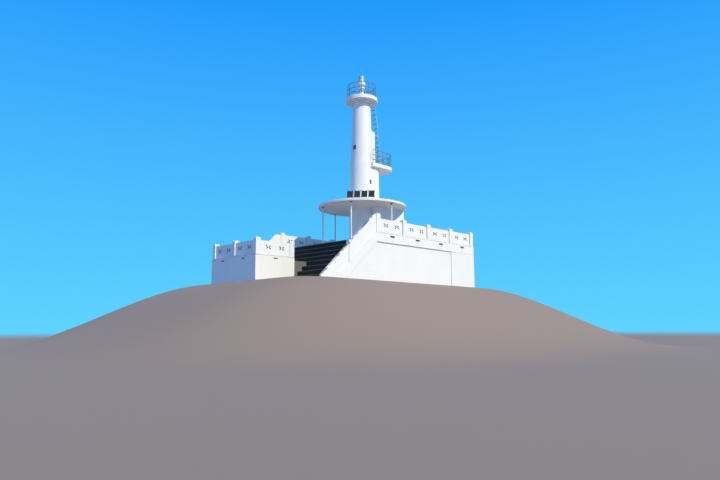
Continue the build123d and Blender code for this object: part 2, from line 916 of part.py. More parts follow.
bracket_z = floor_level + bracket_level - bay_roof_fall
bracket_end_y = ladder_y(bracket_z)
upper_bracket_z = gallery_soffit_z + gallery_thickness / 2
upper_bracket_y = gallery_radius - 2 * bracket_size
upper_bracket_end_y = ladder_y(upper_bracket_z)
with BuildPart() as ladder_brackets:
    for side in (-1, 1):
        with BuildSketch(Plane.XZ.offset(-bay_end_y)):
            with Locations((side * ladder_half_width, bracket_z - bracket_size)):
                Rectangle(bracket_size, bracket_size)
        extrude(amount=-(bracket_end_y - bay_end_y))
        with BuildSketch(Plane.XZ.offset(-upper_bracket_y)):
            with Locations((side * ladder_half_width, upper_bracket_z)):
                Rectangle(bracket_size, bracket_size)
        extrude(amount=-(upper_bracket_end_y - upper_bracket_y))
    add(ladder.part, mode=Mode.SUBTRACT)
    add(gallery_slab.part, mode=Mode.SUBTRACT)
save(ladder_brackets, "ladder_brackets")

# Window and louvre
window_plane = front_plane(-shaft_bottom_radius + shaft_wall)
with BuildPart() as window_frame:
    with BuildSketch(window_plane):
        with Locations((0, floor_level + window_level)):
            Rectangle(window_width, window_height)
            Rectangle(
                window_width - 2 * window_frame_width,
                window_height - 2 * window_frame_width,
                mode=Mode.SUBTRACT,
            )
    extrude(amount=window_frame_depth)
save(window_frame, "window_frame")

with BuildPart() as window_glass:
    with BuildSketch(window_plane.offset((window_frame_depth - glass_thickness) / 2)):
        with Locations((0, floor_level + window_level)):
            Rectangle(window_width - 2 * window_frame_width, window_height - 2 * window_frame_width)
    extrude(amount=glass_thickness)
save(window_glass, "window_glass")

with BuildPart() as louvre:
    with BuildSketch(side_plane(base_radius - louvre_recess)):
        with Locations((0, floor_level + louvre_level)):
            Rectangle(louvre_width, louvre_height)
            Rectangle(
                louvre_width - louvre_depth,
                louvre_height - louvre_depth,
                mode=Mode.SUBTRACT,
            )
            blade_pitch = (louvre_height - louvre_depth) / louvre_blade_count
            with GridLocations(0, blade_pitch, 1, louvre_blade_count):
                Rectangle(louvre_width - louvre_depth, blade_pitch / 2)
    extrude(amount=-louvre_depth)
save(louvre, "louvre")

# Lantern
collar_z = gallery_z + pedestal_height
ring_z = collar_z + collar_height
lens_z = ring_z + lens_seat_height
cap_z = lens_z + lens_height
with BuildPart() as lantern_pedestal:
    with BuildSketch(Plane.XZ):
        with BuildLine():
            Polyline(
                (0, gallery_z),
                (pedestal_flange / 2, gallery_z),
                (pedestal_flange / 2, gallery_z + flange_thickness),
                (pedestal_diameter / 2, gallery_z + flange_thickness),
                (pedestal_diameter / 2, collar_z - flange_thickness),
                (collar_neck / 2, collar_z - flange_thickness),
                (collar_neck / 2, collar_z),
                (0, collar_z),
                close=True,
            )
        make_face()
    revolve(axis=Axis.Z)
save(lantern_pedestal, "lantern_pedestal")

with BuildPart() as lantern_housing:
    with BuildSketch(Plane.XZ):
        with BuildLine():
            Polyline(
                (0, collar_z),
                (collar_neck / 2, collar_z),
                (collar_neck / 2, collar_z + collar_neck_height),
                (collar_diameter / 2, collar_z + collar_neck_height),
                (collar_diameter / 2, ring_z - collar_bevel),
                (lens_diameter / 2, ring_z),
                (lens_seat_diameter / 2, ring_z),
                (lens_seat_diameter / 2, lens_z),
                (0, lens_z),
                close=True,
            )
        make_face()
    revolve(axis=Axis.Z)
    with BuildSketch(Plane.XZ):
        with BuildLine():
            Polyline(
                (0, cap_z),
                (lens_diameter / 2 + cap_overhang, cap_z),
                (lens_diameter / 2 + cap_overhang, cap_z + cap_rim),
                (lens_diameter / 4, cap_z + lens_cap),
                (0, cap_z + lens_cap),
                close=True,
            )
        make_face()
    revolve(axis=Axis.Z)
save(lantern_housing, "lantern_housing")

with BuildPart() as lantern_lens:
    with BuildSketch(Plane.XY.offset(lens_z)):
        Circle(lens_diameter / 2)
    extrude(amount=lens_height)
save(lantern_lens, "lantern_lens")

# Solar panels in a row on the canopy, tilted up, each in a frame with two arms
across = math.radians(panel_across)
facing = math.radians(panel_bearing)
row_centre = Vector(panel_distance * math.cos(across), panel_distance * math.sin(across), 0)
row_line = Vector(-math.sin(facing), math.cos(facing), 0)
outward = Vector(math.cos(facing), math.sin(facing), 0)
tilt = math.radians(panel_tilt)
panel_up = outward * -math.cos(tilt) + Vector(0, 0, math.sin(tilt))
panel_normal = row_line.cross(panel_up)


def panel_place(i):
    along = (i - (panel_count - 1) / 2) * panel_pitch
    foot = row_centre + row_line * along + Vector(0, 0, canopy_top_z + panel_lift)
    return Plane(origin=foot + panel_up * (panel_length / 2), x_dir=row_line, z_dir=panel_normal)


with BuildPart() as solar_panels:
    for i in range(panel_count):
        with BuildSketch(panel_place(i)):
            Rectangle(panel_width, panel_length)
        extrude(amount=panel_thickness)
save(solar_panels, "solar_panels")

with BuildPart() as panel_frames:
    for i in range(panel_count):
        place = panel_place(i)
        with BuildSketch(place):
            for side in (-1, 1):
                with Locations((side * (panel_width - panel_arm) / 2, panel_horn / 2)):
                    Rectangle(panel_arm, panel_length + panel_horn)
            Rectangle(panel_width, panel_arm)
        extrude(amount=-panel_arm)
        for side in (-1, 1):
            foot = place.origin + row_line * (side * (panel_width - panel_arm) / 2)
            foot = foot - panel_up * (panel_length / 2 - panel_arm)
            with BuildSketch(Plane(origin=(foot.X, foot.Y, canopy_top_z), x_dir=row_line, z_dir=(0, 0, 1))):
                with Locations((0, panel_arm)):
                    Rectangle(panel_arm, panel_arm)
            extrude(amount=panel_lift + 2 * panel_arm)
    add(solar_panels.part, mode=Mode.SUBTRACT)
save(panel_frames, "panel_frames")
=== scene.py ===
"""Finish, metalwork, lantern and stage for a small concrete lighthouse on a walled terrace."""

import math
from collections import namedtuple

import bmesh
import bpy
from bpy.props import FloatProperty, FloatVectorProperty, IntProperty, PointerProperty
from mathutils import Matrix, Vector


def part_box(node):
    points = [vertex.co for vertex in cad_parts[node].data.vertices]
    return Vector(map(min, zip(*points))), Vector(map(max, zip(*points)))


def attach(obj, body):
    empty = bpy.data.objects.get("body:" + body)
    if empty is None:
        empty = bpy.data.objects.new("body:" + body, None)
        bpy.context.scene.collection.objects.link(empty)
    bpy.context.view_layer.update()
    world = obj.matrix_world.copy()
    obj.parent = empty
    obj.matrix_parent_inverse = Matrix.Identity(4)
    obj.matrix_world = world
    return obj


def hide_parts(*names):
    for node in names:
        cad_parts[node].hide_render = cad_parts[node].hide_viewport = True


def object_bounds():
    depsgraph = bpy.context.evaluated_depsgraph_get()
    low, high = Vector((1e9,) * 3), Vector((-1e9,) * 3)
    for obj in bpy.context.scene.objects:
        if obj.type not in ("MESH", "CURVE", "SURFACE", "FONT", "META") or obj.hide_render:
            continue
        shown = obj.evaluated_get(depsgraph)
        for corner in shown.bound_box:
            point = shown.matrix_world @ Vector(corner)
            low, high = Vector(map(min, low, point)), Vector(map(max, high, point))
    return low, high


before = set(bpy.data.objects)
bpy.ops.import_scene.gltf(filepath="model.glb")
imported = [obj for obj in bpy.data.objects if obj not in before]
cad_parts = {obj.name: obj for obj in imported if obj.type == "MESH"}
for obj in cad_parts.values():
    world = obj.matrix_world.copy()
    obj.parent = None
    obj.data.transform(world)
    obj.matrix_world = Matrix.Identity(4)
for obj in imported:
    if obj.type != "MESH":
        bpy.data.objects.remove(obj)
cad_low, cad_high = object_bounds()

bl_info = {
    "name": "Terrace lighthouse",
    "version": (1, 0, 0),
    "blender": (4, 5, 0),
    "location": "3D View > Sidebar > Lighthouse",
    "description": "Finishes and details for a small lighthouse with a canopy, balcony and gallery",
    "category": "Object",
}


def length(label, text, default):
    """A size in metres."""
    return FloatProperty(name=label, description=text, default=default, min=0, unit="LENGTH")


def share(label, text, default):
    """A part of one, such as how much of a wall is stained."""
    return FloatProperty(name=label, description=text, default=default, min=0, max=1, subtype="FACTOR")


def number(label, text, default):
    return IntProperty(name=label, description=text, default=default, min=1)


def bearing(label, text, degrees):
    return FloatProperty(name=label, description=text, default=math.radians(degrees), subtype="ANGLE")


def colour(label, text, *parts):
    """A colour from its red, green and blue."""
    return FloatVectorProperty(
        name=label, description=text, default=(*parts, 1), size=4, min=0, max=1, subtype="COLOR"
    )


class MasonrySettings(bpy.types.PropertyGroup):
    wall_paint: colour("Wall paint", "Paint on the terrace walls and parapets", 0.84, 0.85, 0.85)
    tower_paint: colour("Tower paint", "Paint on the tower, slabs and canopy", 0.86, 0.87, 0.87)
    # The grime colour also draws the painted shade lines beside the posts and under the sloping edge.
    grime_and_shade: colour("Grime", "What rain leaves on the paint", 0.28, 0.265, 0.23)
    stains: share("Stains", "How strong the patches and streaks are", 0.09)
    foot_line: share("Foot line", "How dark the dirt is along the foot of a wall or parapet", 0.95)
    # The hollow colour is painted shade on the holes' insides, with some dirt.
    hollow: colour("Hollow", "The dirty insides of the screen blocks' holes", 0.13, 0.125, 0.115)
    step_stone: colour("Step stone", "The dark facing of the steps", 0.03, 0.026, 0.022)
    nosing_stone: colour("Nosing", "The worn edge of each step", 0.18, 0.16, 0.14)
    floor_slab: colour("Floor", "The terrace and landing floors", 0.5, 0.445, 0.385)
    slab_size: length("Slab size", "Side of the floors' slabs", 0.3)
    stone_size: length("Stone size", "Side of the stones on the steps", 0.6)
    drain_width: length("Drain width", "Width of the drain slots", 0.35)
    drain_height: length("Drain height", "Height of the drain slots", 0.08)
    post_width: length("Post width", "Width of the parapets' posts, along the wall", 0.4)
    screen_rib: length("Screen rib", "Width of the ribs between the screen blocks' holes", 0.027)
    screen_hole: length("Screen hole", "Radius of the round hole in the middle of a screen block", 0.018)
    nosing_width: length("Nosing width", "Width of the edge strip on each tread", 0.05)
    nosing_height: length("Nosing height", "Height of the edge strip on each riser", 0.035)
    nosing_lip: length("Nosing lip", "How far the strip stands out of the step", 0.006)


class MetalworkSettings(bpy.types.PropertyGroup):
    rail_paint: colour("Rail paint", "Old paint on the guard rails", 0.15, 0.18, 0.18)
    stile_paint: colour("Stile paint", "Old paint on the ladder's side tubes", 0.5, 0.47, 0.47)
    rung_paint: colour("Rung paint", "Old dark paint on the ladder's rungs", 0.05, 0.06, 0.065)
    primer: colour("Primer", "Orange primer on the ladder's lower bracket", 0.85, 0.4, 0.1)
    column_paint: colour("Column paint", "Paint on the canopy's columns", 0.76, 0.78, 0.79)
    bolt_steel: colour("Bolt steel", "The bolts of the columns and the pedestal", 0.4, 0.41, 0.42)
    rust: colour("Rust", "The brightest colour of the rust", 0.42, 0.16, 0.05)
    rust_share: share("Rust share", "How much of the old metal is rusty", 0.24)
    rail_radius: length("Rail radius", "Radius of the rails' tubes", 0.021)
    post_radius: length("Post radius", "Radius of the posts' tubes", 0.023)
    plate_radius: length("Plate radius", "Radius of the round plate under each post", 0.06)
    plate_height: length("Plate height", "Thickness of the plate under each post", 0.012)
    bolt_radius: length("Bolt radius", "Radius of the bolt heads", 0.011)
    low_rail: length("Low rail", "Height of the lowest rail's middle", 0.28)
    middle_rail: length("Middle rail", "Height of the middle rail's middle", 0.67)
    top_rail: length("Top rail", "Height of the top rail's middle", 1.1)
    gallery_posts: number("Gallery posts", "Number of posts round the gallery", 12)
    stile_radius: length("Stile radius", "Radius of the ladder's side tubes", 0.024)
    rung_radius: length("Rung radius", "Radius of the ladder's rungs", 0.022)
    rung_count: number("Rungs", "Number of rungs on the ladder", 17)
    first_rung: length("First rung", "How far up the ladder the first rung is", 0.3)
    rung_pitch: length("Rung pitch", "Distance from rung to rung", 0.4)
    foot_plate: length("Foot plate", "Thickness of the plate under each column", 0.02)
    plate_inset: length("Column inset", "From the columns' outermost point to their middles", 0.115)
    column_ring: length("Column ring", "Radius of the ring of bolts at a column's foot", 0.085)
    column_bolt: length("Column bolt", "Radius of a column's bolt heads", 0.01)
    flange: length("Flange", "Thickness of the flange under the pedestal", 0.025)
    pedestal_ring: length("Pedestal ring", "Radius of the ring of bolts at the pedestal's foot", 0.25)
    pedestal_bolt: length("Pedestal bolt", "Radius of the pedestal's bolt heads", 0.014)


class LanternSettings(bpy.types.PropertyGroup):
    metal: colour("Lantern metal", "Paint on the lantern's housing", 0.78, 0.79, 0.79)
    glass: colour("Lens", "Tint of the lens", 0.6, 0.82, 0.86)
    lens_ribs: number("Lens ribs", "Number of rings on the lens", 8)
    rib_depth: length("Rib depth", "How far the rings stand out", 0.006)
    patch: colour("Pedestal patch", "The primer and rust that shows on the pedestal", 0.5, 0.31, 0.26)
    shaft_radius: length("Shaft radius", "Radius of the pedestal's shaft", 0.185)
    hatch_low: length("Hatch foot", "Height of the hatch's lower edge over the gallery", 0.3)
    hatch_high: length("Hatch head", "Height of the hatch's upper edge over the gallery", 0.56)
    hatch_turn: bearing("Hatch turn", "Where the hatch begins, from +X", -85)
    hatch_angle: bearing("Hatch width", "Angle that the hatch takes of the shaft", 50)
    hinge_height: length("Hinge height", "Height of the hatch's hinges", 0.03)
    band_height: length("Band height", "Height of the bands round the housing", 0.022)
    band_depth: length("Band depth", "How far the bands stand out", 0.006)


class SolarSettings(bpy.types.PropertyGroup):
    cell: colour("Cell", "The dark cells behind their glass", 0.022, 0.03, 0.026)
    backing: colour("Backing", "The sheet that shows between the cells", 0.1, 0.12, 0.11)
    frame_metal: colour("Frame", "The panels' brackets", 0.045, 0.047, 0.05)
    rim_metal: colour("Rim", "The rim round each panel", 0.3, 0.31, 0.31)
    rust: colour("Rust", "The dull rust on the brackets and rims", 0.3, 0.2, 0.12)
    columns: number("Cells across", "Cells across a panel", 4)
    rows: number("Cells up", "Cells up a panel", 6)
    gap: length("Gap", "Gap between two cells", 0.006)
    rim: length("Rim width", "Width of the rim round each panel", 0.018)


class DoorSettings(bpy.types.PropertyGroup):
    door_paint: colour("Door paint", "Paint on the two doors", 0.5, 0.53, 0.54)
    fittings: colour("Fittings", "The doors' handles and hinges", 0.3, 0.3, 0.3)
    trim_paint: colour("Trim paint", "Paint on the window's frame and the louvre", 0.16, 0.19, 0.2)
    surround_paint: colour("Surround paint", "Paint on the frame round the louvre", 0.36, 0.37, 0.37)
    pane: colour("Pane", "The window's dusty glass", 0.09, 0.115, 0.12)
    dust: colour("Dust", "The dust on the window's glass", 0.2, 0.24, 0.25)
    louvre_frame: length("Louvre frame", "Width of the frame round the louvre", 0.035)
    stile_width: length("Stile width", "Width of the frame round a door's panels", 0.11)
    panel_sink: length("Panel sink", "How far a door's panels lie under its frame", 0.01)
    handle_height: length("Handle height", "Height of the handle over the door's foot", 1.0)


class StageSettings(bpy.types.PropertyGroup):
    camera_place: FloatVectorProperty(
        name="Camera", description="Where the camera stands", default=(33.911, -33.972, -3.05), subtype="TRANSLATION"
    )
    camera_heading: bearing("Heading", "Direction of view, from +X", 135.162)
    camera_rise: bearing("Rise", "How far the view looks up", 8.184)
    camera_roll: bearing("Roll", "How far the camera leans", -0.207)
    lens: FloatProperty(name="Lens", description="Focal length", default=30, unit="CAMERA")
    floor_drop: length("Drop", "How far the floor falls away round the lighthouse", 4.65)
    floor_gap: length("Floor gap", "How far the level floor lies under the walls", 0.004)
    floor_margin: length("Margin", "Level floor round the walls", 0.25)
    floor_corner: length("Corner", "Radius of the level floor's corners", 1.2)
    floor_slope: length("Slope", "Width of the ring in which the floor falls", 15.0)
    floor_reach: length("Reach", "How far the floor goes on", 150.0)
    backdrop_high: colour("High backdrop", "The backdrop high up", 0.015, 0.32, 0.98)
    backdrop_low: colour("Low backdrop", "The backdrop near the floor", 0.115, 0.64, 0.99)
    ground: colour("Ground", "The floor round the lighthouse", 0.3, 0.225, 0.185)
    sky: colour("Fill light", "Light from all round", 0.13, 0.4, 0.91)
    sun: colour("Key light colour", "Colour of the key light", 1.0, 0.88, 0.61)
    sun_power: FloatProperty(name="Key light", description="Strength of the key light", default=3.7, min=0)
    sun_azimuth: bearing("Azimuth", "Where the key light stands, from +X", 0)
    sun_height: bearing("Height", "How high the key light stands", 39)
    sun_spread: bearing("Spread", "Angle across the key light, which softens shadows", 2)


def top_of(name):
    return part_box(name)[1].z


def fill(tree, socket, value):
    """Links an output to an input, or sets the input's own value."""
    if isinstance(value, bpy.types.NodeSocket):
        tree.links.new(value, socket)
    else:
        socket.default_value = value


def node(tree, kind, values=None, **settings):
    """Adds a node, sets its settings, and fills or links its inputs."""
    made = tree.nodes.new(kind)
    for name, value in settings.items():
        setattr(made, name, value)
    for key, value in (values or {}).items():
        fill(tree, made.inputs[key], value)
    return made


def calc(tree, operation, *values):
    """A Math node's result."""
    return node(tree, "ShaderNodeMath", dict(enumerate(values)), operation=operation).outputs[0]


def times(tree, first, second):
    return calc(tree, "MULTIPLY", first, second)


def plus(tree, first, second):
    return calc(tree, "ADD", first, second)


def minus(tree, first, second):
    return calc(tree, "SUBTRACT", first, second)


def varied(tree, base, value, amount):
    """A base and an amount of a value on top of it."""
    return plus(tree, base, times(tree, value, amount))


def between(tree, value, low, high):
    """0 up to low, 1 from high, and a slope between."""
    return node(tree, "ShaderNodeMapRange", {"Value": value, "From Min": low, "From Max": high}).outputs[0]


def fading(tree, value, low, high):
    """1 up to low, 0 from high, and a slope between."""
    return minus(tree, 1.0, between(tree, value, low, high))


def noise(tree, vector, scale, detail=4.0, roughness=0.55):
    values = {"Vector": vector, "Scale": scale, "Detail": detail, "Roughness": roughness}
    return node(tree, "ShaderNodeTexNoise", values).outputs["Fac"]


def stretched(tree, vector, scale):
    return node(tree, "ShaderNodeMapping", {"Vector": vector, "Scale": scale}).outputs[0]


def vector_calc(tree, operation, *values):
    """A Vector Math node's vector."""
    return node(tree, "ShaderNodeVectorMath", dict(enumerate(values)), operation=operation).outputs[0]


def scaled(tree, vector, factor):
    return node(tree, "ShaderNodeVectorMath", {0: vector, "Scale": factor}, operation="SCALE").outputs[0]


def axes(tree, vector):
    return node(tree, "ShaderNodeSeparateXYZ", {0: vector}).outputs


def xyz(tree, **parts):
    """A vector from its X, Y and Z."""
    return node(tree, "ShaderNodeCombineXYZ", parts).outputs[0]


def blend_colours(tree, share_of_second, first, second, mode="MIX"):
    made = node(tree, "ShaderNodeMix", data_type="RGBA", blend_type=mode)
    for socket, value in ((0, share_of_second), (6, first), (7, second)):
        fill(tree, made.inputs[socket], value)
    return made.outputs[2]


def new_group(kind, name, inputs, outputs):
    """An empty node group and its two end nodes. A socket gets its type from its default, or has it in words."""
    tree = bpy.data.node_groups.new(name, kind)
    for label, default in inputs.items():
        if isinstance(default, str):
            tree.interface.new_socket(label, in_out="INPUT", socket_type="NodeSocket" + default)
            continue
        if isinstance(default, tuple):
            what = "Color" if len(default) == 4 else "Vector"
        else:
            what = "Int" if isinstance(default, int) else "Float"
        socket = tree.interface.new_socket(label, in_out="INPUT", socket_type="NodeSocket" + what)
        socket.default_value = default
    for label, what in outputs.items():
        tree.interface.new_socket(label, in_out="OUTPUT", socket_type="NodeSocket" + what)
    return tree, tree.nodes.new("NodeGroupInput").outputs, tree.nodes.new("NodeGroupOutput")


def close_group(tree, out, **results):
    for name, result in results.items():
        tree.links.new(result, out.inputs[name.replace("_", " ")])


def weathered_paint_group():
    """Paint on concrete: tone, streaks, patches, specks, hairline cracks, a dirty line at the foot, and given marks
    of dirt and painted shade.
    """
    inputs = {
        "Vector": "Vector", "Paint": (0.8, 0.8, 0.8, 1), "Grime": (0.4, 0.4, 0.4, 1), "Stains": 0.3,
        "Cracks": 0.5, "Rise": 10.0, "Foot line": 0.5, "Marks": 0.0,
    }
    outputs = {"Colour": "Color", "Roughness": "Float", "Height": "Float"}
    tree, put, out = new_group("ShaderNodeTree", "Weathered paint", inputs, outputs)
    vector = put["Vector"]
    runs = between(tree, noise(tree, stretched(tree, vector, (2.6, 2.6, 0.16)), 1.7, 6, 0.62), 0.52, 0.78)
    patches = between(tree, noise(tree, vector, 1.1, 9, 0.66), 0.5, 0.8)
    specks = between(tree, noise(tree, vector, 26, 3), 0.62, 0.74)
    stain = plus(tree, times(tree, runs, 0.8), times(tree, patches, 0.5))
    stain = times(tree, plus(tree, stain, times(tree, specks, 0.25)), put["Stains"])
    shift = node(tree, "ShaderNodeTexNoise", {"Vector": vector, "Scale": 1.3, "Detail": 5.0}).outputs["Color"]
    wander = vector_calc(tree, "ADD", vector, vector_calc(tree, "MULTIPLY", shift, (0.6, 0.6, 0.6)))
    cells = node(tree, "ShaderNodeTexVoronoi", {"Vector": wander, "Scale": 0.42}, feature="DISTANCE_TO_EDGE")
    crack = fading(tree, cells.outputs["Distance"], 0.002, 0.006)
    some = between(tree, noise(tree, vector, 0.23, 2), 0.5, 0.6)
    crack = times(tree, times(tree, crack, some), put["Cracks"])
    above = calc(tree, "GREATER_THAN", put["Rise"], -0.004)
    line = fading(tree, put["Rise"], 0.015, 0.06)
    splash = fading(tree, put["Rise"], 0.0, 0.45)
    uneven = between(tree, noise(tree, stretched(tree, vector, (1, 1, 0.3)), 4.5, 7, 0.7), 0.36, 0.62)
    splash = times(tree, calc(tree, "POWER", splash, 2.0), times(tree, uneven, 0.35))
    line = times(tree, line, varied(tree, 0.45, uneven, 0.55))
    foot = times(tree, calc(tree, "MAXIMUM", line, splash), put["Foot line"])
    stain = calc(tree, "MAXIMUM", stain, times(tree, foot, above))
    # Marks are dirt, and painted shade beside posts and under the sloping edge; strong marks go near to black.
    stain = calc(tree, "MAXIMUM", stain, times(tree, put["Marks"], plus(tree, 0.7, uneven)))
    dirty = calc(tree, "MINIMUM", plus(tree, stain, times(tree, crack, 0.5)), 1.0)
    tone = between(tree, noise(tree, vector, 0.35, 3), 0.2, 0.8)
    tone = varied(tree, 0.95, tone, 0.05)
    toned = blend_colours(tree, 1.0, put["Paint"], tone, "MULTIPLY")
    result = blend_colours(tree, dirty, toned, put["Grime"])
    black_dirt_and_shade = times(tree, calc(tree, "POWER", put["Marks"], 3.0), 0.8)
    fine = times(tree, noise(tree, vector, 45, 3), 0.35)
    coarse = times(tree, noise(tree, vector, 5, 4), 0.65)
    close_group(
        tree, out,
        Colour=blend_colours(tree, black_dirt_and_shade, result, (0.05, 0.045, 0.04, 1)),
        Roughness=varied(tree, 0.55, dirty, 0.3),
        Height=minus(tree, plus(tree, fine, coarse), times(tree, crack, 0.8)),
    )


def rust_group():
    """Where old paint has given way to rust, and the rust's colours."""
    inputs = {"Vector": "Vector", "Scale": 6.0, "Share": 0.4, "Rust": (0.4, 0.16, 0.05, 1)}
    outputs = {"Mask": "Float", "Colour": "Color", "Height": "Float"}
    tree, put, out = new_group("ShaderNodeTree", "Rust bloom", inputs, outputs)
    bloom = noise(tree, put["Vector"], put["Scale"], 8, 0.65)
    limit = minus(tree, 0.72, times(tree, put["Share"], 0.4))
    mask = between(tree, minus(tree, bloom, limit), 0.0, 0.05)
    fine = noise(tree, put["Vector"], times(tree, put["Scale"], 9.0), 5, 0.6)
    dark = blend_colours(tree, 1.0, put["Rust"], (0.22, 0.2, 0.2, 1), "MULTIPLY")
    result = blend_colours(tree, between(tree, fine, 0.35, 0.65), dark, put["Rust"])
    close_group(tree, out, Mask=mask, Colour=result, Height=times(tree, fine, mask))


def joints_group():
    """Joints of a laid surface, from the distance to the nearest line of a square grid."""
    inputs = {"Vector": "Vector", "Spacing": 0.3, "Joint": 0.006}
    outputs = {"Joint mask": "Float", "Tone": "Float"}
    tree, put, out = new_group("ShaderNodeTree", "Laid joints", inputs, outputs)
    lines = []
    for along in list(axes(tree, put["Vector"]))[:2]:
        across = calc(tree, "PINGPONG", along, times(tree, put["Spacing"], 0.5))
        lines.append(calc(tree, "LESS_THAN", across, put["Joint"]))
    cell = scaled(tree, put["Vector"], calc(tree, "DIVIDE", 1.0, put["Spacing"]))
    whole = vector_calc(tree, "FLOOR", cell)
    tone = node(tree, "ShaderNodeTexWhiteNoise", {"Vector": whole}, noise_dimensions="3D").outputs["Value"]
    close_group(tree, out, Joint_mask=calc(tree, "MAXIMUM", *lines), Tone=tone)


def new_material(name):
    """A material with its node tree, its shader and the object's own coordinates."""
    made = bpy.data.materials.new(name)
    made.use_nodes = True
    tree = made.node_tree
    return made, tree, tree.nodes["Principled BSDF"], tree.nodes.new("ShaderNodeTexCoord").outputs["Object"]


def use_group(tree, name, **values):
    """A shader group's outputs, with its inputs filled."""
    made = tree.nodes.new("ShaderNodeGroup")
    made.node_tree = bpy.data.node_groups[name]
    for key, value in values.items():
        fill(tree, made.inputs[key.replace("_", " ")], value)
    return made.outputs


def surface(tree, shader, base, roughness, height=None, strength=0.5, depth=0.002, specular=None):
    """Fills a shader's colour and roughness, and its relief and gloss where they are given."""
    fill(tree, shader.inputs["Base Color"], base)
    fill(tree, shader.inputs["Roughness"], roughness)
    if height:
        bump = node(tree, "ShaderNodeBump", {"Height": height, "Strength": strength, "Distance": depth})
        tree.links.new(bump.outputs[0], shader.inputs["Normal"])
    if specular is not None:
        shader.inputs["Specular IOR Level"].default_value = specular


def slanted_line(tree, place, slope, offset):
    """The height of the line slope * y + offset at a place."""
    return plus(tree, times(tree, axes(tree, place)["Y"], slope), offset)


def rise_over(tree, place, level, slope=0.0, offset=0.0, hanging=False):
    """Height over a line at a level, lower where slope * y + offset is; or the depth under it, where it hangs."""
    line = calc(tree, "MINIMUM", slanted_line(tree, place, slope, offset), level) if slope else level
    height = axes(tree, place)["Z"]
    return minus(tree, line, height) if hanging else minus(tree, height, line)


def repeated(tree, place, first, pitch):
    """How far along Y the nearest of an endless row of places is, of which the first and the pitch are given."""
    return calc(tree, "PINGPONG", minus(tree, axes(tree, place)["Y"], first), pitch / 2)


def corner_dirt_and_shade(tree, place, first, pitch, half):
    """Dirt and painted shade in the corners beside a row of posts."""
    return times(tree, fading(tree, minus(tree, repeated(tree, place, first, pitch), half), 0.015, 0.045), 0.8)


def drain_marks(tree, place, first, pitch, half, level, height):
    """A dark rim round each of a row of drains, and a faint run under it."""
    beside = repeated(tree, place, first, pitch)
    over = minus(tree, axes(tree, place)["Z"], level)
    off = minus(tree, calc(tree, "ABSOLUTE", minus(tree, over, height / 2)), height / 2)
    away = calc(tree, "MAXIMUM", minus(tree, beside, half + 0.04), off)
    inside = fading(tree, beside, half * 0.6, half)
    under = times(tree, calc(tree, "LESS_THAN", over, 0.02), 0.16)
    run = times(tree, times(tree, inside, between(tree, over, -0.55, 0.0)), under)
    return calc(tree, "MAXIMUM", fading(tree, away, 0.012, 0.04), run)


def ledge_marks(tree, place, level):
    """A line of dirt where the posts stand on a ledge at a level."""
    return times(tree, fading(tree, minus(tree, axes(tree, place)["Z"], level), 0.03, 0.07), 0.6)


def slope_shadow_marks(tree, place, slope, offset):
    """A painted shadow line in the corner under a sloping edge."""
    under = minus(tree, slanted_line(tree, place, slope, offset), axes(tree, place)["Z"])
    return times(tree, fading(tree, under, 0.06, 0.11), 0.36)


def coping_marks(tree, place, slope, offset):
    """Patches of dirt along a sloping top edge."""
    under = minus(tree, slanted_line(tree, place, slope, offset), axes(tree, place)["Z"])
    some = between(tree, noise(tree, place, 1.9, 5, 0.7), 0.46, 0.57)
    return times(tree, times(tree, fading(tree, under, 0.03, 0.09), some), 0.85)


def painted_concrete(name, settings, foot, marks=None, dirt=1.0, paint=None, stains=1.0, cracks=0.12):
    """Weathered paint on concrete. The foot is for rise_over, and marks are a function and its values."""
    made, tree, shader, place = new_material(name)
    look = use_group(
        tree, "Weathered paint",
        Vector=place,
        Paint=paint or settings.wall_paint,
        Grime=settings.grime_and_shade,
        Stains=settings.stains * stains,
        Cracks=cracks,
        Rise=rise_over(tree, place, **foot),
        Foot_line=settings.foot_line * dirt,
        Marks=marks[0](tree, place, *marks[1:]) if marks else 0.0,
    )
    surface(
        tree, shader, look["Colour"], look["Roughness"], look["Height"], strength=0.35, depth=0.004, specular=0.3
    )
    return made


def rust_over(tree, place, paint, rust, amount, scale):
    """A paint that has gone to rust in places, with the rust's mask and relief."""
    look = use_group(tree, "Rust bloom", Vector=place, Scale=scale, Share=amount, Rust=rust)
    return blend_colours(tree, look["Mask"], paint, look["Colour"]), look["Mask"], look["Height"]


def painted_metal(name, paint, rust, amount, scale=6.0):
    made, tree, shader, place = new_material(name)
    painted, mask, height = rust_over(tree, place, paint, rust, amount, scale)
    surface(tree, shader, painted, varied(tree, 0.45, mask, 0.4), height)
    return made


def placed(name, data):
    """A new object at the origin."""
    made = bpy.data.objects.new(name, data)
    bpy.context.scene.collection.objects.link(made)
    return made


def mesh_object(name, verts, faces, material=None, smooth=False):
    """A new object from points and faces, with its faces turned outwards."""
    mesh = bpy.data.meshes.new(name)
    mesh.from_pydata([tuple(v) for v in verts], [], faces)
    if material:
        mesh.materials.append(material)
    form = bmesh.new()
    form.from_mesh(mesh)
    bmesh.ops.remove_doubles(form, verts=form.verts, dist=1e-6)
    bmesh.ops.recalc_face_normals(form, faces=form.faces)
    form.to_mesh(mesh)
    form.free()
    if smooth:
        mesh.shade_smooth()
    return placed(name, mesh)


def point_values(made, label, kind, values):
    """Gives an object's points an attribute."""
    field = "vector" if kind == "FLOAT_VECTOR" else "value"
    for item, value in zip(made.data.attributes.new(label, kind, "POINT").data, values):
        setattr(item, field, value)


def polar(radius, angle, height=0.0):
    return radius * math.cos(angle), radius * math.sin(angle), height


def ring_faces(rings, sides):
    """The faces between rings of points, from each ring to the next."""
    faces = []
    for a in range(0, (rings - 1) * sides, sides):
        for i in range(sides):
            j = (i + 1) % sides
            faces.append((a + i, a + j, a + sides + j, a + sides + i))
    return faces


def lathe(profile, sides=48):
    """Points and faces of (radius, height) points turned about the Z axis. Ends on the axis are closed."""
    verts = [polar(radius, math.tau * i / sides, height) for radius, height in profile for i in range(sides)]
    return verts, ring_faces(len(profile), sides)


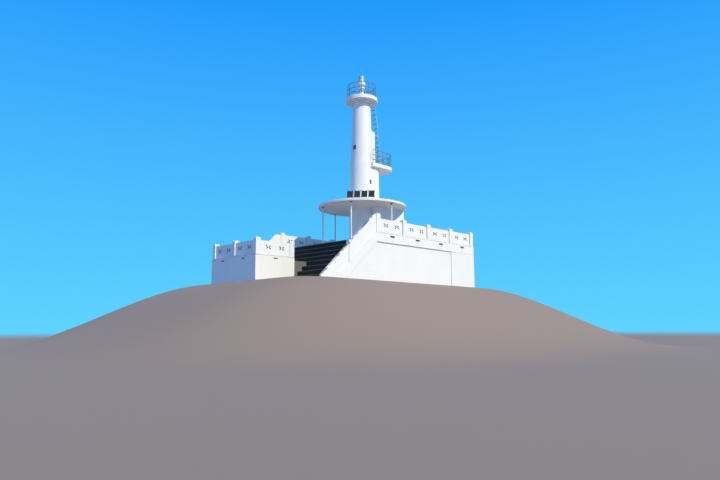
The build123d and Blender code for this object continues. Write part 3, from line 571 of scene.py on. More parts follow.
def curved_plate(inner, outer, start, end, low, high, steps=14):
    """A plate bent about the Z axis between two angles, with all its sides."""
    section = ((inner, low), (outer, low), (outer, high), (inner, high))
    angles = [start + (end - start) * i / steps for i in range(steps + 1)]
    verts = [polar(radius, angle, height) for angle in angles for radius, height in section]
    faces = [(0, 1, 2, 3), tuple(steps * 4 + i for i in (3, 2, 1, 0))]
    for a in range(0, steps * 4, 4):
        faces += [(a + j, a + (j + 1) % 4, a + 4 + (j + 1) % 4, a + 4 + j) for j in range(4)]
    return verts, faces


def box_points(low, high):
    """The corners and faces of a block between two corners."""
    x, y, z = zip(low, high)
    verts = [(x[i], y[j], z[k]) for k in (0, 1) for j in (0, 1) for i in (0, 1)]
    faces = [(0, 2, 3, 1), (4, 5, 7, 6), (0, 1, 5, 4), (2, 6, 7, 3), (0, 4, 6, 2), (1, 3, 7, 5)]
    return verts, faces


def joined(pieces):
    """Points and faces of several shapes as one list each."""
    verts = []
    faces = []
    for more, sides in pieces:
        start = len(verts)
        verts.extend(more)
        faces.extend(tuple(start + i for i in side) for side in sides)
    return verts, faces


def sharpen(made, angle=math.radians(35)):
    """Smooth shading, with edges sharper than the angle kept crisp."""
    made.data.shade_smooth()
    made.data.set_sharp_from_angle(angle=angle)
    return made


def settle(made):
    """Replaces the object's mesh by what its modifiers make of it, and removes them."""
    graph = bpy.context.evaluated_depsgraph_get()
    graph.update()
    old = made.data
    made.data = bpy.data.meshes.new_from_object(made.evaluated_get(graph), depsgraph=graph)
    made.modifiers.clear()
    bpy.data.meshes.remove(old)
    return made


def ease_edges(made, width, segments=2):
    """Rounds the edges of a piece a little, and keeps the result as its mesh."""
    modifier = made.modifiers.new("Eased edges", "BEVEL")
    modifier.width = width
    modifier.segments = segments
    modifier.limit_method = "ANGLE"
    return sharpen(settle(made))


def fasten(made, slot, *nodes):
    """The piece rides with the lighthouse and stands for these nodes, which it hides. The slot is not used."""
    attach(made, "root")
    if nodes:
        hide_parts(*nodes)
    return made


def dress(material, *names):
    """Gives CAD nodes a finish."""
    for name in names:
        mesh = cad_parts[name].data
        mesh.materials.clear()
        mesh.materials.append(material)


Face = namedtuple("Face", "normal area corners")


def loose_parts(name):
    """The separate solids of a CAD node, each as a list of its faces."""
    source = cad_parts[name]
    form = bmesh.new()
    form.from_mesh(source.data)
    form.transform(source.matrix_world)
    bmesh.ops.remove_doubles(form, verts=form.verts, dist=1e-5)
    left = dict.fromkeys(form.faces)
    parts = []
    while left:
        reach = [next(iter(left))]
        del left[reach[0]]
        faces = []
        while reach:
            face = reach.pop()
            faces.append(Face(face.normal.copy(), face.calc_area(), [corner.co.copy() for corner in face.verts]))
            for edge in face.edges:
                for other in edge.link_faces:
                    if other in left:
                        del left[other]
                        reach.append(other)
        parts.append(faces)
    form.free()
    return parts


def faces_of(name):
    """The faces of a CAD node, one solid after another."""
    return [face for part in loose_parts(name) for face in part]


def extent(faces):
    """The lowest and highest corner of some faces."""
    corners = [corner for face in faces for corner in face.corners]
    return tuple(Vector([pick(c[i] for c in corners) for i in range(3)]) for pick in (min, max))


def new_tree(name, inputs):
    """A geometry node tree with a Geometry input and named inputs, and its two end nodes."""
    return new_group("GeometryNodeTree", name, {"Geometry": "Geometry", **inputs}, {"Geometry": "Geometry"})


def shape(tree, kind, values=None, **settings):
    """A geometry node's first output."""
    return node(tree, "GeometryNode" + kind, values, **settings).outputs[0]


def attribute(tree, name, kind="FLOAT"):
    return shape(tree, "InputNamedAttribute", {"Name": name}, data_type=kind)


def rotation(tree, euler):
    return node(tree, "FunctionNodeEulerToRotation", {0: euler}).outputs[0]


def at_points(tree, points, instance, **others):
    return shape(tree, "InstanceOnPoints", {"Points": points, "Instance": instance, **others})


def marked(tree, geometry, name, faces=True):
    """The geometry with a true attribute on the faces that the output socket or value picks."""
    values = {"Geometry": geometry, "Name": name, "Value": faces}
    return shape(tree, "StoreNamedAttribute", values, data_type="BOOLEAN", domain="FACE")


def lifted(tree, geometry, height):
    return shape(tree, "Transform", {"Geometry": geometry, "Translation": xyz(tree, Z=height)})


def merged(tree, parts):
    """Several shapes as one."""
    made = tree.nodes.new("GeometryNodeJoinGeometry")
    for part in reversed(parts):
        tree.links.new(part, made.inputs[0])
    return made.outputs[0]


def tube(tree, curve, radius):
    """A closed round tube along a curve."""
    circle = shape(tree, "CurvePrimitiveCircle", {"Radius": radius, "Resolution": 12})
    return shape(tree, "CurveToMesh", {"Curve": curve, "Profile Curve": circle, "Fill Caps": True})


def cylinder(tree, radius, height, centre, sides=12):
    """An upright cylinder at a height."""
    values = {"Vertices": sides, "Radius": radius, "Depth": height}
    return lifted(tree, shape(tree, "MeshCylinder", values), centre)


def rectangle_frame(tree, width, height, wall):
    """A flat face between a rectangle and one that lies a wall's width inside it."""
    rims = []
    for walls in (0.0, 2.0):
        inset = {
            "Width": minus(tree, width, times(tree, wall, walls)),
            "Height": minus(tree, height, times(tree, wall, walls)),
        }
        rims.append(shape(tree, "CurvePrimitiveQuadrilateral", inset))
    return shape(tree, "FillCurve", {0: merged(tree, rims)})


def thickened(tree, face, depth, side_mark=None):
    """A flat face made a closed block of a depth, whose sides can be marked."""
    values = {"Mesh": face, "Offset": (0, 0, 1), "Offset Scale": depth, "Individual": False}
    grown = node(tree, "GeometryNodeExtrudeMesh", values).outputs
    walls = marked(tree, grown["Mesh"], side_mark, grown["Side"]) if side_mark else grown["Mesh"]
    block = merged(tree, [walls, shape(tree, "FlipFaces", {0: face})])
    return shape(tree, "MergeByDistance", {"Geometry": block, "Distance": 0.0001})


def close_tree(tree, out, geometry, material, **others):
    """Ends a tree in real geometry with its material, and others on faces with a true attribute of their name."""
    result = shape(tree, "RealizeInstances", {0: geometry})
    result = shape(tree, "SetMaterial", {"Geometry": result, "Material": material})
    for name, other in others.items():
        values = {"Geometry": result, "Selection": attribute(tree, name, "BOOLEAN"), "Material": other}
        result = shape(tree, "SetMaterial", values)
    tree.links.new(result, out.inputs[0])
    return tree


def grow(made, tree, values):
    """Runs a geometry tree on an object and keeps the result as its mesh."""
    modifier = made.modifiers.new(tree.name, "NODES")
    modifier.node_group = tree
    for item in tree.interface.items_tree:
        if item.item_type == "SOCKET" and item.in_out == "INPUT" and item.name in values:
            modifier[item.identifier] = values[item.name]
    return settle(made)


def railing_tree(material):
    """Three rails along a chain of edges, with a post, plate and bolts at each marked point."""
    tree, put, out = new_tree("Guard rail", {
        "Rail radius": 0.02, "Post radius": 0.02, "Plate radius": 0.06, "Plate height": 0.012, "Bolt radius": 0.01,
        "Low": 0.28, "Middle": 0.67, "Top": 1.1,
    })
    path = shape(tree, "MeshToCurve", {"Mesh": put["Geometry"]})
    rails = [tube(tree, lifted(tree, path, put[level]), put["Rail radius"]) for level in ("Low", "Middle", "Top")]
    post = cylinder(tree, put["Post radius"], put["Top"], times(tree, put["Top"], 0.5))
    plate = cylinder(tree, put["Plate radius"], put["Plate height"], times(tree, put["Plate height"], 0.5), 20)
    ring = shape(tree, "MeshCircle", {"Vertices": 4, "Radius": times(tree, put["Plate radius"], 0.68)})
    bolt_height = plus(tree, put["Plate height"], times(tree, put["Bolt radius"], 0.5))
    bolt = cylinder(tree, put["Bolt radius"], put["Bolt radius"], bolt_height, 6)
    foot = merged(tree, [post, plate, at_points(tree, ring, bolt)])
    posts = at_points(tree, put["Geometry"], foot, Selection=attribute(tree, "post", "BOOLEAN"))
    return close_tree(tree, out, merged(tree, [*rails, posts]), material)


def screen_tree(paint, inside):
    """A pierced block: four leaf-shaped holes about a small round one, stood up and turned at each point."""
    tree, put, out = new_tree("Screen blocks", {
        "Width": 0.52, "Height": 0.28, "Depth": 0.15, "Rib": 0.024, "Centre": 0.02,
    })
    half_width = times(tree, put["Width"], 0.5)
    half_height = times(tree, put["Height"], 0.5)
    ring = shape(tree, "CurvePrimitiveCircle", {"Resolution": 20, "Radius": 1.0})
    spot = axes(tree, shape(tree, "InputPosition"))
    long = times(tree, minus(tree, half_width, put["Rib"]), 0.5)
    wide = minus(tree, times(tree, half_height, 0.5), put["Rib"])
    bulge = times(tree, spot["Y"], calc(tree, "ABSOLUTE", spot["Y"]))
    outline = xyz(tree, X=times(tree, spot["X"], long), Y=times(tree, bulge, wide))
    leaf = shape(tree, "SetPosition", {"Geometry": ring, "Position": outline})
    slant = calc(tree, "ARCTAN2", put["Height"], put["Width"])
    loops = []
    for x, y in ((1, 1), (-1, 1), (-1, -1), (1, -1)):
        turn = rotation(tree, xyz(tree, Z=times(tree, slant, float(x * y))))
        shift = xyz(tree, X=times(tree, half_width, 0.5 * x), Y=times(tree, half_height, 0.5 * y))
        loops.append(shape(tree, "Transform", {"Geometry": leaf, "Translation": shift, "Rotation": turn}))
    loops.append(shape(tree, "CurvePrimitiveCircle", {"Resolution": 10, "Radius": put["Centre"]}))
    loops.append(
        shape(tree, "CurvePrimitiveQuadrilateral", {"Width": put["Width"], "Height": put["Height"]})
    )
    face = lifted(tree, shape(tree, "FillCurve", {0: merged(tree, loops)}), times(tree, put["Depth"], -0.5))
    block = thickened(tree, face, put["Depth"], "inside")
    turn = rotation(tree, xyz(tree, X=math.pi / 2, Z=attribute(tree, "turn")))
    return close_tree(tree, out, at_points(tree, put["Geometry"], block, Rotation=turn), paint, inside=inside)


def drain_tree(material):
    """A square tube at each point, as long and turned as the point says, open at both ends."""
    tree, put, out = new_tree("Drain linings", {"Width": 0.35, "Height": 0.08, "Wall": 0.004})
    face = rectangle_frame(tree, put["Width"], put["Height"], put["Wall"])
    shift = xyz(tree, Y=times(tree, put["Height"], 0.5), Z=-0.5)
    face = shape(tree, "Transform", {"Geometry": face, "Translation": shift})
    turn = rotation(tree, xyz(tree, X=math.pi / 2, Z=attribute(tree, "turn")))
    size = xyz(tree, X=1.0, Y=1.0, Z=attribute(tree, "length"))
    tubes = at_points(tree, put["Geometry"], thickened(tree, face, 1.0), Rotation=turn, Scale=size)
    return close_tree(tree, out, tubes, material)


def nosing_tree(material):
    """A strip along the edge of each step: a row of bars down the flight."""
    tree, put, out = new_tree("Step nosings", {
        "Count": 3, "Length": 5.0, "Width": 0.05, "Height": 0.005, "First": (0, 0, 0), "Step": (0, -0.4, -0.4),
    })
    size = xyz(tree, X=put["Length"], Y=put["Width"], Z=put["Height"])
    row = shape(
        tree, "MeshLine", {"Count": put["Count"], "Start Location": put["First"], "Offset": put["Step"]}
    )
    return close_tree(tree, out, at_points(tree, row, shape(tree, "MeshCube", {"Size": size})), material)


def ladder_tree(paint, dark):
    """Two side tubes and dark rungs between two points, leaning in one plane."""
    tree, put, out = new_tree("Ladder", {
        "Foot": (0, 0, 0), "Top": (0, 0, 1), "Half width": 0.2, "Stile radius": 0.02, "Rung radius": 0.01,
        "Rungs": 10, "First rung": 0.3, "Pitch": 0.4,
    })
    way = vector_calc(tree, "NORMALIZE", vector_calc(tree, "SUBTRACT", put["Top"], put["Foot"]))
    line = shape(tree, "CurvePrimitiveLine", {"Start": put["Foot"], "End": put["Top"]})
    parts = []
    for side in (-1.0, 1.0):
        aside = xyz(tree, X=times(tree, put["Half width"], side))
        stile = shape(tree, "Transform", {"Geometry": line, "Translation": aside})
        parts.append(tube(tree, stile, put["Stile radius"]))
    start = vector_calc(tree, "ADD", put["Foot"], scaled(tree, way, put["First rung"]))
    values = {"Count": put["Rungs"], "Start Location": start, "Offset": scaled(tree, way, put["Pitch"])}
    row = shape(tree, "MeshLine", values)
    values = {"Vertices": 10, "Radius": put["Rung radius"], "Depth": times(tree, put["Half width"], 2.0)}
    rung = shape(tree, "MeshCylinder", values)
    rung = shape(tree, "Transform", {"Geometry": rung, "Rotation": (0, math.pi / 2, 0)})
    parts.append(at_points(tree, row, marked(tree, rung, "rung")))
    return close_tree(tree, out, merged(tree, parts), paint, rung=dark)


def bolt_ring_tree(material):
    """A ring of bolts with washers at each point of the mesh that comes in."""
    tree, put, out = new_tree("Ring of bolts", {"Ring radius": 0.1, "Bolts": 6, "Bolt radius": 0.01})
    washer = cylinder(tree, times(tree, put["Bolt radius"], 1.7), 0.004, 0.002, 14)
    height = times(tree, put["Bolt radius"], 1.1)
    head = cylinder(tree, put["Bolt radius"], height, varied(tree, 0.004, height, 0.5), 6)
    ring = shape(tree, "MeshCircle", {"Vertices": put["Bolts"], "Radius": put["Ring radius"]})
    bolts = at_points(tree, ring, merged(tree, [washer, head]))
    return close_tree(tree, out, at_points(tree, put["Geometry"], bolts), material)


def cell_tree(cells, rim):
    """Rows of thin cells within a rim, laid on each point and turned as the point says."""
    tree, put, out = new_tree("Solar cells", {
        "Width": 0.47, "Length": 0.64, "Columns": 4, "Rows": 6, "Gap": 0.006, "Rim": 0.018, "Rim height": 0.008,
        "Cell height": 0.002,
    })
    sizes = []
    spans = []
    for side, count in (("Width", "Columns"), ("Length", "Rows")):
        inside = minus(tree, put[side], times(tree, put["Rim"], 2.0))
        pitch = calc(tree, "DIVIDE", inside, put[count])
        sizes.append(minus(tree, pitch, put["Gap"]))
        spans.append(times(tree, pitch, minus(tree, put[count], 1.0)))
    values = {"Size X": spans[0], "Size Y": spans[1], "Vertices X": put["Columns"], "Vertices Y": put["Rows"]}
    size = xyz(tree, X=sizes[0], Y=sizes[1], Z=put["Cell height"])
    rows = at_points(tree, shape(tree, "MeshGrid", values), shape(tree, "MeshCube", {"Size": size}))
    face = rectangle_frame(tree, put["Width"], put["Length"], put["Rim"])
    border = marked(tree, thickened(tree, face, put["Rim height"]), "rim")
    turn = rotation(tree, attribute(tree, "turn", "FLOAT_VECTOR"))
    panels = at_points(tree, put["Geometry"], merged(tree, [rows, border]), Rotation=turn)
    return close_tree(tree, out, panels, cells, rim=rim)


def chain(name, points, posts, closed=False):
    """A chain of edges through points, with the post attribute true where a post stands."""
    mesh = bpy.data.meshes.new(name)
    count = len(points)
    edges = [(i, (i + 1) % count) for i in range(count if closed else count - 1)]
    mesh.from_pydata([tuple(p) for p in points], edges, [])
    made = placed(name, mesh)
    point_values(made, "post", "BOOLEAN", [i in posts for i in range(count)])
    return made


def arc_points(centre, radius, start, end, steps):
    """Points on an arc about a centre, ends included."""
    return [centre + Vector(polar(radius, start + (end - start) * i / steps)) for i in range(steps + 1)]


def direction(heading, rise):
    """A heading from +X, tilted up by an angle."""
    return Vector((math.cos(heading) * math.cos(rise), math.sin(heading) * math.cos(rise), math.sin(rise)))


class LIGHTHOUSE_OT_stage(bpy.types.Operator):
    """Set the camera, the lamps, the floor and the backdrop"""

    bl_idname = "lighthouse.stage"
    bl_label = "Stage"

    def execute(self, context):
        settings = context.scene.lighthouse_stage
        self.set_camera(context, settings)
        self.set_light(context, settings)
        self.lay_floor(settings)
        context.scene.view_settings.view_transform = "Standard"
        return {"FINISHED"}

    def set_camera(self, context, settings):
        camera = placed("camera", bpy.data.cameras.new("camera"))
        camera.data.lens = settings.lens
        camera.data.clip_end = 400
        turn = direction(settings.camera_heading, settings.camera_rise).to_track_quat("-Z", "Y")
        turn = turn @ Matrix.Rotation(settings.camera_roll, 4, "Z").to_quaternion()
        camera.matrix_world = Matrix.LocRotScale(Vector(settings.camera_place), turn, None)
        context.scene.camera = camera

    def set_light(self, context, settings):
        """A key light, and a sky that lights the piece in one colour and is seen as a blend of two."""
        lamp = bpy.data.lights.new("key_light", "SUN")
        lamp.energy = settings.sun_power
        lamp.angle = settings.sun_spread
        lamp.color = settings.sun[:3]
        towards = direction(settings.sun_azimuth, settings.sun_height)
        placed("key_light", lamp).rotation_euler = (-towards).to_track_quat("-Z", "Y").to_euler()
        world = bpy.data.worlds.new("sky")
        world.use_nodes = True
        tree = world.node_tree
        tree.nodes.clear()
        seen = node(tree, "ShaderNodeLightPath").outputs
        direct = calc(tree, "MAXIMUM", seen["Is Camera Ray"], seen["Is Transmission Ray"])
        direct = calc(tree, "MAXIMUM", direct, seen["Is Glossy Ray"])
        up = axes(tree, node(tree, "ShaderNodeTexCoord").outputs["Generated"])["Z"]
        thin = minus(tree, 1.25, times(tree, between(tree, up, 0.1, 0.9), 0.65))
        light = node(tree, "ShaderNodeBackground", {"Color": settings.sky, "Strength": thin})
        shade = blend_colours(tree, between(tree, up, 0.0, 0.5), settings.backdrop_low, settings.backdrop_high)
        back = node(tree, "ShaderNodeBackground", {"Color": shade, "Strength": 1.0})
        mixed = node(tree, "ShaderNodeMixShader", {0: direct, 1: light.outputs[0], 2: back.outputs[0]})
        node(tree, "ShaderNodeOutputWorld", {"Surface": mixed.outputs[0]})
        context.scene.world = world

    def lay_floor(self, settings):
        """A level floor with round corners just under the walls, which falls away round them and goes on far."""
        corner = settings.floor_corner
        centre = (cad_low + cad_high) / 2
        half = (cad_high - cad_low) / 2
        inset = settings.floor_margin - corner
        steps = 12
        first_ring, growth = 0.35, 1.16
        rings = [0.0]
        while rings[-1] < settings.floor_reach:
            rings.append(first_ring + rings[-1] * growth)
        verts = []
        for out in rings:
            part = min(out / settings.floor_slope, 1)
            height = -settings.floor_gap - settings.floor_drop * part * part * (3 - 2 * part)
            for quarter, (x, y) in enumerate(((1, 1), (-1, 1), (-1, -1), (1, -1))):
                middle = Vector((centre.x + x * (half.x + inset), centre.y + y * (half.y + inset), height))
                start = math.pi / 2 * quarter
                verts += arc_points(middle, corner + out, start, start + math.pi / 2, steps)
        count = 4 * (steps + 1)
        faces = [*ring_faces(len(rings), count), tuple(range(count))]
        floor = mesh_object("floor", verts, faces, self.floor_material(settings), smooth=True)
        if floor.data.polygons[-1].normal.z < 0:
            floor.data.flip_normals()

    def floor_material(self, settings):
        """Bare ground that takes the backdrop's colour far away, where the camera sees it."""
        made, tree, shader, place = new_material("floor")
        surface(tree, shader, settings.ground, 0.9)
        flat = vector_calc(tree, "MULTIPLY", place, (1, 1, 0))
        away = node(tree, "ShaderNodeVectorMath", {0: flat}, operation="LENGTH").outputs["Value"]
        far = between(tree, away, settings.floor_reach * 0.4, settings.floor_reach)
        seen = times(tree, far, node(tree, "ShaderNodeLightPath").outputs["Is Camera Ray"])
        glow = node(tree, "ShaderNodeEmission", {"Color": settings.backdrop_low})
        mixed = node(tree, "ShaderNodeMixShader", {0: seen, 1: shader.outputs[0], 2: glow.outputs[0]})
        tree.links.new(mixed.outputs[0], tree.nodes["Material Output"].inputs["Surface"])
        return made


WALL_NODES = ("side_bands", "back_wall", "near_stair_band", "far_stair_wall", "landing_walls")
PARAPET_NODES = ("side_parapets", "back_parapet", "near_stair_parapet", "far_stair_parapet")
TOWER_NODES = (
    "base_odd_segments", "base_even_segments", "shaft_odd_segments", "shaft_even_segments",
    "balcony_slab", "door_bay", "gallery_slab", "canopy_roof", "room_side_walls", "room_end_walls",
)
FLOOR_NODES = ("terrace_floor", "landing_floor", "terrace_core")
STEP_NODES = ("upper_steps", "lower_steps")
COLUMN_ANGLES = (0, 180, 240, 300)


def step_size():
    """The height and depth of one step."""
    low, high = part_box("upper_steps")
    return (top_of("terrace_floor") - top_of("landing_floor")) / 4, (high.y - low.y) / 4


class LIGHTHOUSE_OT_masonry(bpy.types.Operator):
    """Paint the walls, slabs and tower, and lay the floors"""

    bl_idname = "lighthouse.masonry"
    bl_label = "Masonry"

    def execute(self, context):
        settings = context.scene.lighthouse_masonry
        drains = self.find_drains()
        walls = self.paint_walls(settings, drains)
        foot = {"level": top_of("terrace_floor")}
        tower = painted_concrete(
            "tower_paint", settings, foot, paint=settings.tower_paint, stains=0.4, cracks=0.05
        )
        dress(tower, *TOWER_NODES)
        dress(self.floor_finish(settings), *FLOOR_NODES)
        self.screens(settings, walls["parapet_paint"])
        self.drains(settings, drains)
        return {"FINISHED"}

    def find_drains(self):
        """The middle and size of the sill of each drain slot in the walls."""
        largest = 0.08
        sills = {}
        for name in WALL_NODES:
            under = top_of(name) - 0.1
            for face in faces_of(name):
                low, high = extent([face])
                if face.normal.z > 0.99 and face.area < largest and low.z < under:
                    sills[tuple(round(v, 3) for v in (low + high) / 2)] = high - low
        return sills

    def paint_walls(self, settings, drains):
        """The paint of each kind of wall, dirty where its foot, ledges, posts and drains are."""
        rise, run = step_size()
        slope = rise / run
        band_low, band_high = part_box("near_stair_band")
        ledge = top_of("side_bands")
        soffit = top_of("side_walls")
        landing = top_of("landing_walls")
        recess = soffit - slope * band_high.y
        near_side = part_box("side_bands")[1].x - 0.5
        drain_row = sorted(spot[1] for spot in drains if spot[0] > near_side and spot[2] > ledge - 1)
        pitch = drain_row[1] - drain_row[0]
        slanted = [face for face in faces_of("near_stair_parapet") if face.normal.z > 0.3 and face.normal.y < -0.3]
        coping = max(slanted, key=lambda face: face.area)
        start = min(coping.corners, key=lambda corner: corner.z)
        lean = -coping.normal.y / coping.normal.z
        drain_size = (settings.drain_width / 2, top_of("terrace_floor"), settings.drain_height)
        along_steps = {"level": ledge, "slope": slope, "offset": -slope * band_low.y}
        # The line hanging under the soffit: dirt under its level part, painted shadow under the sloping edge.
        under_steps = {"level": soffit, "slope": slope, "offset": recess, "hanging": True}
        # Beside the parapet posts: dark lines of dirt and painted shade.
        posts = (corner_dirt_and_shade, drain_row[0] - pitch / 2, pitch, settings.post_width / 2)
        paints = {
            "wall_paint": (WALL_NODES, {"level": 0.0}, None, 0.4),
            "band_paint": (
                ("side_bands",), {"level": 0.0}, (drain_marks, drain_row[0], pitch, *drain_size), 1.0
            ),
            # Recess walls: dirt under the soffit and a painted shadow line under the stairs' sloping edge.
            "recess_paint": (("side_walls",), under_steps, (slope_shadow_marks, slope, recess), 0.5),
            "parapet_paint": (PARAPET_NODES, along_steps, None, 0.5),
            "side_parapet_paint": (("side_parapets",), {"level": ledge}, posts, 1.0),
            "stair_parapet_paint": (
                ("near_stair_parapet",), along_steps, (coping_marks, lean, start.z - lean * start.y), 0.2
            ),
            "landing_parapet_paint": (("landing_parapet",), {"level": landing}, None, 1.0),
            "post_paint": (("parapet_posts",), {"level": ledge}, (ledge_marks, landing), 0.5),
        }
        walls = {}
        for name, (nodes, foot, marks, dirt) in paints.items():
            walls[name] = painted_concrete(name, settings, foot, marks, dirt)
            dress(walls[name], *nodes)
        return walls

    def drains(self, settings, sills):
        """A lining in each drain slot of the walls, dark with dirt and painted shade."""
        made, tree, shader, place = new_material("drain_lining")
        # Near-black lining: painted shade inside the slots, with dirt varied by noise.
        wet = between(tree, noise(tree, place, 18, 5), 0.3, 0.7)
        surface(tree, shader, blend_colours(tree, wet, (0.02, 0.018, 0.016, 1), (0.07, 0.06, 0.045, 1)), 0.8)
        linings = mesh_object("drain_linings", sills, [])
        turns = [0.0 if size.x > size.y else math.pi / 2 for size in sills.values()]
        point_values(linings, "turn", "FLOAT", turns)
        point_values(linings, "length", "FLOAT", [min(size.x, size.y) for size in sills.values()])
        last = list(sills.values())[-1]
        sizes = {"Width": max(last.x, last.y), "Height": settings.drain_height, "Wall": 0.004}
        fasten(grow(linings, drain_tree(made), sizes), "white_wall")

    def screens(self, settings, paint):
        """The pierced blocks in the parapets, on the places of the CAD ones."""
        # The holes' insides are dark: painted shade, with some dirt mixed in.
        inside, tree, shader, place = new_material("screen_hollow")
        soot = times(tree, between(tree, noise(tree, place, 14, 5), 0.3, 0.8), 0.4)
        surface(tree, shader, blend_colours(tree, soot, settings.hollow, settings.grime_and_shade), 0.9)
        centres = []
        turns = []
        for part in loose_parts("screen_blocks"):
            low, high = extent(part)
            size = high - low
            centres.append((low + high) / 2)
            turns.append(math.pi / 2 if size.x < size.y else 0.0)
        places = mesh_object("screen_grilles", centres, [])
        point_values(places, "turn", "FLOAT", turns)
        sizes = {
            "Width": max(size.x, size.y),
            "Height": size.z,
            "Depth": min(size.x, size.y),
            "Rib": settings.screen_rib,
            "Centre": settings.screen_hole,
        }
        fasten(grow(places, screen_tree(paint, inside), sizes), "screen_block", "screen_blocks")

    def floor_finish(self, settings):
        """Slabs with dark joints, and dark sides."""
        made, tree, shader, place = new_material("floor_slabs")
        laid = use_group(tree, "Laid joints", Vector=place, Spacing=settings.slab_size, Joint=0.004)
        tone = varied(tree, 0.85, laid["Tone"], 0.2)
        cloud = varied(tree, 0.8, noise(tree, place, 2.2, 7), 0.35)
        toned = blend_colours(tree, 1.0, settings.floor_slab, times(tree, tone, cloud), "MULTIPLY")
        up = axes(tree, node(tree, "ShaderNodeTexCoord").outputs["Normal"])["Z"]
        side = times(tree, calc(tree, "LESS_THAN", up, 0.5), 0.75)
        toned = blend_colours(tree, side, toned, (0.12, 0.12, 0.115, 1))
        toned = blend_colours(tree, times(tree, laid["Joint mask"], 0.7), toned, (0.12, 0.12, 0.11, 1))
        grain = minus(tree, times(tree, noise(tree, place, 60, 3), 0.4), laid["Joint mask"])
        surface(tree, shader, toned, 0.8, grain, depth=0.004)
        return made


class LIGHTHOUSE_OT_steps(bpy.types.Operator):
    """Face the steps in dark stone and lay a strip along each edge"""

    bl_idname = "lighthouse.steps"
    bl_label = "Steps"

    def execute(self, context):
        settings = context.scene.lighthouse_masonry
        dress(self.stone("step_stone", settings, settings.step_stone), *STEP_NODES)
        tree = nosing_tree(self.stone("nosing_stone", settings, settings.nosing_stone))
        rise, run = step_size()
        lip = settings.nosing_lip
        width, height = settings.nosing_width, settings.nosing_height
        for flight in STEP_NODES:
            low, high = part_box(flight)
            sizes = {
                "Count": round((high.y - low.y) / run),
                "Length": high.x - low.x - 0.004,
                "Width": width,
                "Height": height,
                "First": Vector(((low.x + high.x) / 2, high.y - run + width / 2 - lip, high.z + lip - height / 2)),
                "Step": Vector((0, -run, -rise)),
            }
            strips = grow(mesh_object(flight[:-5] + "nosings", [], []), tree, sizes)
            fasten(ease_edges(strips, 0.002, 1), "dark_step")
        return {"FINISHED"}

    def stone(self, name, settings, tint):
        """Cloudy stone with fine joints and pale worn spots."""
        made, tree, shader, place = new_material(name)
        laid = use_group(tree, "Laid joints", Vector=place, Spacing=settings.stone_size, Joint=0.003)
        cloud = noise(tree, place, 3.5, 8, 0.7)
        toned = blend_colours(tree, 1.0, tint, varied(tree, 0.7, cloud, 0.6), "MULTIPLY")
        worn = times(tree, between(tree, noise(tree, place, 9, 6, 0.7), 0.6, 0.85), 0.12)
        pale = blend_colours(tree, worn, toned, (0.2, 0.2, 0.2, 1))
        height = minus(tree, times(tree, noise(tree, place, 35, 5), 0.5), laid["Joint mask"])
        rough = varied(tree, 0.6, cloud, 0.3)
        surface(tree, shader, pale, rough, height, strength=0.4, depth=0.004, specular=0.2)
        return made


class LIGHTHOUSE_OT_railings(bpy.types.Operator):
    """Make the guard rails of the gallery and the balcony"""

    bl_idname = "lighthouse.railings"
    bl_label = "Guard rails"

    def execute(self, context):
        settings = context.scene.lighthouse_metalwork
        paint = painted_metal("rail_paint", settings.rail_paint, settings.rust, settings.rust_share)
        tree = railing_tree(paint)
        sizes = {
            "Rail radius": settings.rail_radius,
            "Post radius": settings.post_radius,
            "Plate radius": settings.plate_radius,
            "Plate height": settings.plate_height,
            "Bolt radius": settings.bolt_radius,
            "Low": settings.low_rail,
            "Middle": settings.middle_rail,
            "Top": settings.top_rail,
        }
        steps = 8
        low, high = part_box("gallery_railing_odd_bays")
        radius = (high.x - low.x) / 2 - settings.rail_radius
        count = settings.gallery_posts
        ring = arc_points(Vector((0, 0, low.z)), radius, 0, math.tau, count * steps)[:-1]
        posts = {steps // 2 + steps * i for i in range(count)}
        gallery = grow(chain("gallery_rails", ring, posts, closed=True), tree, sizes)
        fasten(sharpen(gallery), "white_metal", "gallery_railing_odd_bays", "gallery_railing_even_bays")
        low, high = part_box("balcony_side_rails")
        half = high.x - settings.rail_radius
        turn_y = high.y - high.x
        third = (turn_y - low.y) / 3
        side = [low.y + settings.rail_radius, low.y + third, low.y + 2 * third, turn_y - settings.rail_radius]
        near = [Vector((half, y, low.z)) for y in (low.y, *side)]
        bend = arc_points(Vector((0, turn_y, low.z)), half, 0, math.pi, 6 * steps)
        far = [Vector((-half, y, low.z)) for y in (*reversed(side), low.y)]
        after = len(near) + len(bend)
        posts = {1, 2, 3, 4, *range(after, after + 4)} | {len(near) + steps // 2 + steps * i for i in range(6)}
        balcony = grow(chain("balcony_rails", near + bend + far, posts), tree, sizes)
        fasten(sharpen(balcony), "white_metal", "balcony_side_rails", "balcony_end_rails")
        return {"FINISHED"}


